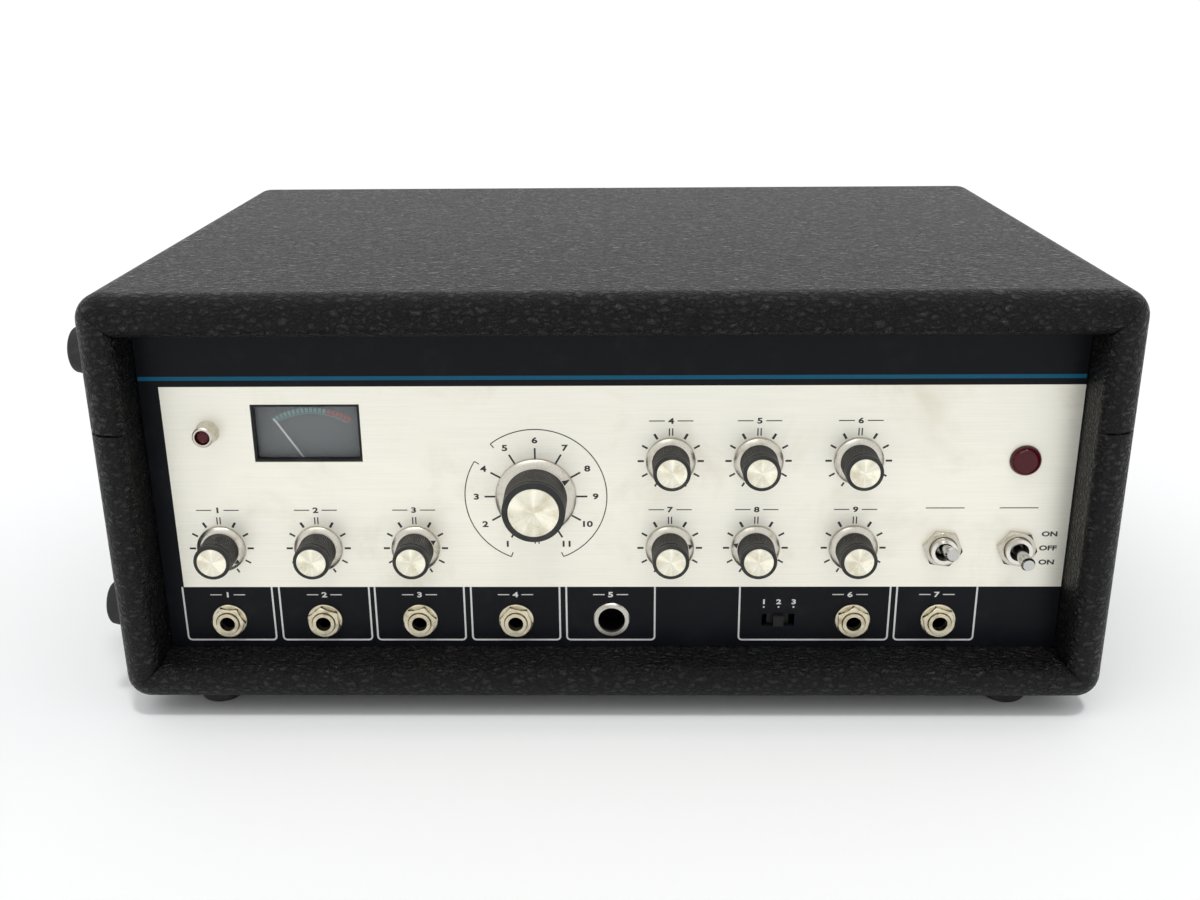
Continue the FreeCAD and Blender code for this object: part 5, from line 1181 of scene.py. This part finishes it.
@dataclass(frozen=True)
class NutSize:
    """Size of a hexagonal nut, in millimetres.

    Attributes:
        flats: size across the flats.
        base: height of its back over the panel.
        hole: radius of its thread.
        thick: its thickness.
    """

    flats: float
    base: float
    hole: float
    thick: float = 2.4


@dataclass
class Fittings(Part):
    """Sockets, switches and lamps on the panel.

    Attributes:
        jacks: X of the six jack sockets from the middle.
        jack_height: their height above the underside.
        toggles: X of the two toggle switches from the middle.
        toggle_height: their height above the underside.
    """

    jacks: tuple = (-164.5, -123.2, -81.9, -40.6, 103.6, 140.1)
    jack_height: float = 29.8
    toggles: tuple = (139.2, 170.2)
    toggle_height: float = 63.6

    JACK_NUT = NutSize(flats=12.7, base=1.0, hole=4.8)
    JACK_TURNS = (4, 22, 48, 11, 30, 17)
    SWITCH_NUT = NutSize(flats=14.6, base=0.0, hole=5.6)
    SWITCH_TURN = 8

    def nut(self, x: float, height: float, size: NutSize, turn: float) -> Surface:
        """Hexagonal nut whose front corners are chamfered.

        The outer radius at angle t is half the flats over the cosine of the angle to the nearest
        flat's middle; in front it stops at just over half the flats, and the side ends lower
        where it had further to go, as a cone turned on the nut gives.

        Args:
            x: place on the panel.
            height: place on the panel.
            size: its size.
            turn: angle of the first flat, clockwise from straight up.

        Returns:
            The closed nut.
        """
        steps = 144
        angle = np.linspace(0, 360, steps, endpoint=False)
        nearest = np.radians((angle - turn + 30) % 60 - 30)
        outer = size.flats / 2 / np.cos(nearest)
        stop = np.minimum(outer, size.flats / 2 * 1.015)
        drop = (outer - stop) * math.tan(math.radians(30))
        base, hole = size.base, size.hole
        top = base + size.thick
        profile = [(base, hole), (base, 1.0), (top, 1.0), (top, 1.0), (top, hole + 0.35), (top - 0.35, hole)]
        scale = np.ones((len(profile), steps))
        scale[1] = outer
        scale[2] = outer
        scale[3] = stop
        shift = np.zeros((len(profile), steps))
        shift[2] = -drop - 0.05
        centre = (self.datum.x(x), self.datum.face, self.datum.z(height))
        return turned(profile, centre, steps, scale, shift)

    def washer(self, x: float, height: float) -> Surface:
        """Round washer with a rounded outer edge."""
        profile = [(0, 4.8), (0, 7.35), (0.15, 7.5), (0.75, 7.5), (0.95, 7.3), (1.0, 7.1), (1.0, 4.8)]
        centre = (self.datum.x(x), self.datum.face, self.datum.z(height))
        return turned(profile, centre, 64)

    def build(self) -> int:
        """Dress the fittings and make the nuts and washers; returns how many pieces were added."""
        self.dress_nodes({
            SOCKET: "jack_sockets",
            CUP: "line_socket",
            SWITCH: "switch_bodies",
            SATIN_RING: "peak_lamp_bezel",
            CHROME: "standby_lever power_lever",
            BLACK_PLASTIC: "level_switch_slider lamp_holders mode_switch",
            STEEL: "potentiometers",
            RED_LENS: "power_lamp_lens peak_lamp_lens",
        })
        nuts = [self.nut(x, self.jack_height, self.JACK_NUT, turn) for x, turn in
                zip(self.jacks, self.JACK_TURNS)]
        washers = [self.washer(x, self.jack_height) for x in self.jacks]
        make_piece("jack_nuts", joined(nuts), NICKEL, "root", ("jack_nuts_and_washers",))
        make_piece("jack_washers", joined(washers), NICKEL, "root")
        nuts = [self.nut(x, self.toggle_height, self.SWITCH_NUT, self.SWITCH_TURN) for x in self.toggles]
        make_piece("switch_nuts", joined(nuts), BRIGHT_NICKEL, "root", ("toggle_nuts",))
        return 3


@dataclass
class Meter(Part):
    """Level meter: scale, needle, window and housing.

    Attributes:
        pivot: (x, height) of the needle's axis on the panel.
        scale_ring: radius of the scale's arc.
        swing: half of the scale's angle.
        red_from: angle where the red part begins.
        blocks: number of printed blocks along the scale.
        ink_rise: how far the print stands in front of the scale.
    """

    pivot: tuple = (-124.1, 91.4)
    scale_ring: float = 28.9
    swing: float = 31.0
    red_from: float = 12.0
    blocks: int = 19
    ink_rise: float = 0.04

    def build(self) -> int:
        """Dress the meter and print its scale; returns how many pieces were added."""
        self.dress_nodes({
            SLATE: "meter_scale",
            WHITE_PAINT: "meter_needle",
            BLACK_PLASTIC: "meter_case",
            CLEAR: "meter_window",
        })
        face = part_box("meter_scale")[0].y / MM
        x = self.datum.x(self.pivot[0])
        z = self.datum.z(self.pivot[1])
        ring = self.scale_ring
        green = [strip(arc(x, z, ring, -self.swing, self.swing, 60), 0.3, face, self.ink_rise, self.ink_rise)]
        red = []
        for index in range(self.blocks):
            angle = (2 * index / (self.blocks - 1) - 1) * self.swing
            block = spoke(x, z, angle, ring + 0.5, ring + 2.6)
            target = red if angle > self.red_from else green
            target.append(strip(block, 1.35, face, self.ink_rise, self.ink_rise))
        make_piece("meter_marks_green", joined(green), INKS[Ink.GREEN], "root")
        make_piece("meter_marks_red", joined(red), INKS[Ink.RED], "root")
        return 2


@dataclass
class TapeDeck(Part):
    """Everything inside the cabinet."""

    def build(self) -> int:
        """Dress the deck and the electrics; returns how many pieces were added."""
        self.dress_nodes({
            STEEL: "chassis_frame transport_deck reverb_tank reverb_springs",
            CLEAR: "tape_chamber_cover",
            TAPE_BROWN: "tape_loop",
            GROUND_STEEL: "tape_guides tape_heads capstan pinch_arm pinch_spring",
            MOTOR_PAINT: "drive_motor",
            RUBBER: "pinch_roller",
            RESIN_BOARD: "circuit_boards",
            CORE_VARNISH: "power_transformer",
        })
        return 0


@dataclass
class RearPanel(Part):
    """Plate in the back with its cord gland, fuse holder and screws."""

    def build(self) -> int:
        """Dress the plate and its fittings; returns how many pieces were added."""
        self.dress_nodes({
            STEEL: "rear_panel",
            BLACK_PLASTIC: "cord_gland fuse_holder",
            BRIGHT_NICKEL: "screws",
        })
        return 0


@dataclass
class Carrying(Part):
    """Strap handle on the right side and the two catches.

    Attributes:
        shoulder: distance of the bow's ends from the middle.
        shoulder_rise: distance of the strap's back from the cabinet there.
        end: half of the strap's length.
        flat_from: where its flat ends begin.
        width: width of the strap.
        thickness: its thickness.
        standoff: distance of the bow's outside from the cabinet.
        gap: distance of its flat ends from the cabinet.
    """

    shoulder: float = 61.0
    shoulder_rise: float = 5.4
    end: float = 97.0
    flat_from: float = 76.0
    width: float = 25.0
    thickness: float = 5.0
    standoff: float = 25.0
    gap: float = 0.4

    def back_line(self, y: np.ndarray) -> np.ndarray:
        """Distance of the strap's back from the cabinet at each Y.

        Between the shoulders it is a circle's arc through both shoulders and the middle, then a
        straight run down to the flat ends.
        """
        sag = self.standoff - self.thickness - self.shoulder_rise
        radius = (self.shoulder**2 + sag**2) / (2 * sag)
        inside = np.clip(np.abs(y), 0, self.shoulder)
        bow = self.standoff - self.thickness - radius + np.sqrt(radius**2 - inside**2)
        run = (np.abs(y) - self.shoulder) / (self.flat_from - self.shoulder)
        slope = self.shoulder_rise + (self.gap - self.shoulder_rise) * np.clip(run, 0, 1)
        return np.where(np.abs(y) < self.shoulder, bow, slope)

    def strap(self, side: float, height: float) -> Surface:
        """Strap with a crowned outside and rounded edges.

        Across the strap, at angle t round the section, the width follows a cosine to the power
        0.5 and the thickness a sine to the power 0.7, which gives a full, rounded section.

        Args:
            side: X of the cabinet's side.
            height: Z of the strap's middle.

        Returns:
            The closed strap.
        """
        along = 121
        around = 40
        y = np.linspace(-self.end, self.end, along)
        back = self.back_line(y)
        t = np.linspace(0, 2 * math.pi, around, endpoint=False)
        wide = self.width / 2 * np.sign(np.cos(t)) * np.abs(np.cos(t)) ** 0.5
        thick = self.thickness / 2 * (1 + np.sign(np.sin(t)) * np.abs(np.sin(t)) ** 0.7)
        x = side + back[:, None] + thick[None, :]
        z = np.broadcast_to(height + wide, x.shape)
        points = np.stack([x, np.broadcast_to(y[:, None], x.shape), z], -1).reshape(-1, 3)
        last = (along - 1) * around
        faces = grid_faces(along, around)
        faces += [list(range(around)), list(range(last, last + around))]
        return Surface(points, faces)

    def stitches(self, side: float, height: float) -> Surface:
        """Rows of thread along both edges of the strap, each stitch a small spindle."""
        count = 34
        half_long = 1.9
        spread = self.shoulder + 12
        middle = np.linspace(-spread, spread, count)
        along = 5
        around = 6
        last = (along - 1) * around
        s = np.linspace(-1, 1, along)
        t = np.linspace(0, 2 * math.pi, around, endpoint=False)
        body = 0.35 * np.sqrt(1 - s**2) + 0.02
        surfaces = []
        for row in (-1, 1):
            for place in middle:
                y = place + half_long * s
                x = side + self.back_line(y) + self.thickness - 0.55
                z = height + row * (self.width / 2 - 3.2)
                ring_x = x[:, None] + body[:, None] * np.cos(t)
                ring_z = z + body[:, None] * np.sin(t)
                ring_y = np.broadcast_to(y[:, None], ring_x.shape)
                points = np.stack([ring_x, ring_y, ring_z], -1).reshape(-1, 3)
                faces = grid_faces(along, around)
                faces += [list(range(around)), list(range(last, last + around))]
                surfaces.append(Surface(points, faces))
        return joined(surfaces)

    def build(self) -> int:
        """Make the strap and dress the fittings; returns how many pieces were added."""
        self.dress_nodes({
            BRIGHT_NICKEL: "handle_end_caps catch_plates catch_keepers catch_lever_left catch_lever_right",
        })
        low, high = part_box("handle_strap")
        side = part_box("lower_cabinet")[1].x / MM
        height = (low.z + high.z) / 2 / MM
        make_piece("carrying_strap", self.strap(side, height), STRAP_SKIN, "root", ("handle_strap",))
        make_piece("strap_stitches", self.stitches(side, height), THREAD, "root")
        return 2


@dataclass
class Studio:
    """Floor, soft lamps, pale surroundings and the camera.

    Attributes:
        eye: place of the camera in millimetres.
        yaw: camera's turn to the right in radians.
        pitch: camera's tilt down in radians.
        roll: camera's roll in radians.
        focal: focal length in pixels of a picture 1200 pixels wide.
        picture_width: that width.
        sensor: width of the sensor in millimetres.
        floor_half: half of the floor's size in metres; its edge stays out of the picture.
        floor_tones: darker and lighter colour of the floor.
        sky: strength of the surroundings as light.
        sky_color: colour of the surroundings as light.
        lamp: strength of the lamp.
        softness: angle that the lamp fills, in degrees.
        lamp_from: direction that the lamp shines from.
        gleam: strength of the smaller lamp, whose light glints on the covering.
        gleam_softness: angle that the smaller lamp fills, in degrees.
        gleam_from: direction that the smaller lamp shines from.
    """

    eye: tuple = (-1.747, -618.42, 296.70)
    yaw: float = -0.0171
    pitch: float = 0.3482
    roll: float = -0.0081
    focal: float = 1291.379
    picture_width: float = 1200.0
    sensor: float = 36.0
    floor_half: float = 80.0
    floor_tones: tuple = ((0.945, 0.945, 0.94), (0.965, 0.965, 0.96))
    sky: float = 0.72
    sky_color: tuple = (0.97, 0.98, 1.0)
    lamp: float = 0.45
    softness: float = 38.0
    lamp_from: tuple = (-0.28, -0.42, 0.86)
    gleam: float = 0.9
    gleam_softness: float = 7.0
    gleam_from: tuple = (0.12, -0.30, 0.95)

    def add_camera(self) -> None:
        """Place the camera at the photograph's viewing angle."""
        ahead = Vector((
            math.sin(self.yaw) * math.cos(self.pitch),
            math.cos(self.yaw) * math.cos(self.pitch),
            -math.sin(self.pitch),
        ))
        right = Vector((math.cos(self.yaw), -math.sin(self.yaw), 0))
        above = right.cross(ahead)
        across = math.cos(self.roll) * right + math.sin(self.roll) * above
        upward = -math.sin(self.roll) * right + math.cos(self.roll) * above
        lens = bpy.data.cameras.new("camera")
        lens.sensor_fit = "HORIZONTAL"
        lens.sensor_width = self.sensor
        lens.lens = self.focal / self.picture_width * self.sensor
        lens.clip_start = 0.01
        camera = bpy.data.objects.new("camera", lens)
        turn = Matrix((across, upward, -ahead)).transposed()
        camera.matrix_world = Matrix.Translation(Vector(self.eye) * MM) @ turn.to_4x4()
        bpy.context.scene.collection.objects.link(camera)
        bpy.context.scene.camera = camera

    def add_floor(self) -> None:
        """Large pale floor that keeps the shadow and has no visible edge."""
        half = self.floor_half
        mesh = bpy.data.meshes.new("floor")
        corners = [(-half, -half, 0), (half, -half, 0), (half, half, 0), (-half, half, 0)]
        mesh.from_pydata(corners, [], [(0, 1, 2, 3)])
        graph = Graph("pale_floor")
        tone = graph.mix(graph.noise(400, detail=2), *self.floor_tones)
        graph.dress(Base_Color=tone, Roughness=0.75)
        mesh.materials.append(graph.material)
        floor = bpy.data.objects.new("floor", mesh)
        bpy.context.scene.collection.objects.link(floor)

    @staticmethod
    def add_lamp(name: str, strength: float, softness: float, direction: tuple) -> None:
        """Lamp at a great distance, even all over the floor.

        Args:
            name: its name.
            strength: its strength.
            softness: the angle that it fills, in degrees.
            direction: where it shines from.
        """
        light = bpy.data.lights.new(name, "SUN")
        light.energy = strength
        light.angle = math.radians(softness)
        lamp = bpy.data.objects.new(name, light)
        lamp.rotation_euler = Vector(direction).to_track_quat("Z", "Y").to_euler()
        bpy.context.scene.collection.objects.link(lamp)

    def add_world(self) -> None:
        """Pale surroundings: plain white to the camera and to reflections, softer as light."""
        world = bpy.data.worlds.new("studio")
        bpy.context.scene.world = world
        world.use_nodes = True
        tree = world.node_tree
        tree.nodes.clear()
        path = tree.nodes.new("ShaderNodeLightPath")
        seen = tree.nodes.new("ShaderNodeMath")
        through = tree.nodes.new("ShaderNodeMath")
        for node in (seen, through):
            node.operation = "MAXIMUM"
        soft = tree.nodes.new("ShaderNodeBackground")
        white = tree.nodes.new("ShaderNodeBackground")
        for node, color, strength in ((soft, self.sky_color, self.sky), (white, (1, 1, 1), 1.0)):
            node.inputs["Color"].default_value = (*color, 1)
            node.inputs["Strength"].default_value = strength
        blend = tree.nodes.new("ShaderNodeMixShader")
        output = tree.nodes.new("ShaderNodeOutputWorld")
        for start, end in (
            (path.outputs["Is Camera Ray"], seen.inputs[0]),
            (path.outputs["Is Glossy Ray"], seen.inputs[1]),
            (seen.outputs[0], through.inputs[0]),
            (path.outputs["Is Transmission Ray"], through.inputs[1]),
            (through.outputs[0], blend.inputs[0]),
            (soft.outputs[0], blend.inputs[1]),
            (white.outputs[0], blend.inputs[2]),
            (blend.outputs[0], output.inputs[0]),
        ):
            tree.links.new(start, end)

    def build(self) -> None:
        """Set up the whole studio."""
        self.add_camera()
        self.add_floor()
        self.add_world()
        self.add_lamp("soft_lamp", self.lamp, self.softness, self.lamp_from)
        self.add_lamp("gleam_lamp", self.gleam, self.gleam_softness, self.gleam_from)
        bpy.context.scene.view_settings.view_transform = "Standard"


def knobs(frame: dict, datum: Datum) -> list:
    """The nine small knobs and the mode knob, each at its angle at rest."""
    angles = {
        "knob_input_volume_1": 130.0, "knob_input_volume_2": -150.0, "knob_input_volume_3": 65.0,
        "knob_intensity": -150.0, "knob_echo_volume": -150.0, "knob_treble": 120.0,
        "knob_repeat_rate": 80.0, "knob_reverb_volume": -76.0, "knob_bass": 120.0,
    }
    made = [Knob(frame, datum, body=name, nodes=(name,), rest=angle) for name, angle in angles.items()]
    made.append(Knob(
        frame, datum, body="mode_knob", nodes=("mode_knob_grip", "mode_knob_skirt", "mode_knob_cap"),
        rest=60.0,
        skirt_radius=16.8, grip_radius=12.9, cap_radius=10.4, height=18.0, shaft=28.9, ridges=96,
    ))
    return made


def main() -> None:
    """Build the sub-assemblies in order and report each."""
    logging.basicConfig(level=logging.INFO, format="%(message)s")
    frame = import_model()
    Studio().build()
    datum = Datum.from_frame()
    parts = [Cabinet(frame, datum), ControlPanel(frame, datum), Fittings(frame, datum), Meter(frame, datum)]
    parts += knobs(frame, datum)
    parts += [TapeDeck(frame, datum), RearPanel(frame, datum), Carrying(frame, datum)]
    for part in parts:
        log.info("%s: %d pieces added", type(part).__name__, part.build())


if __name__ == "__main__":
    main()
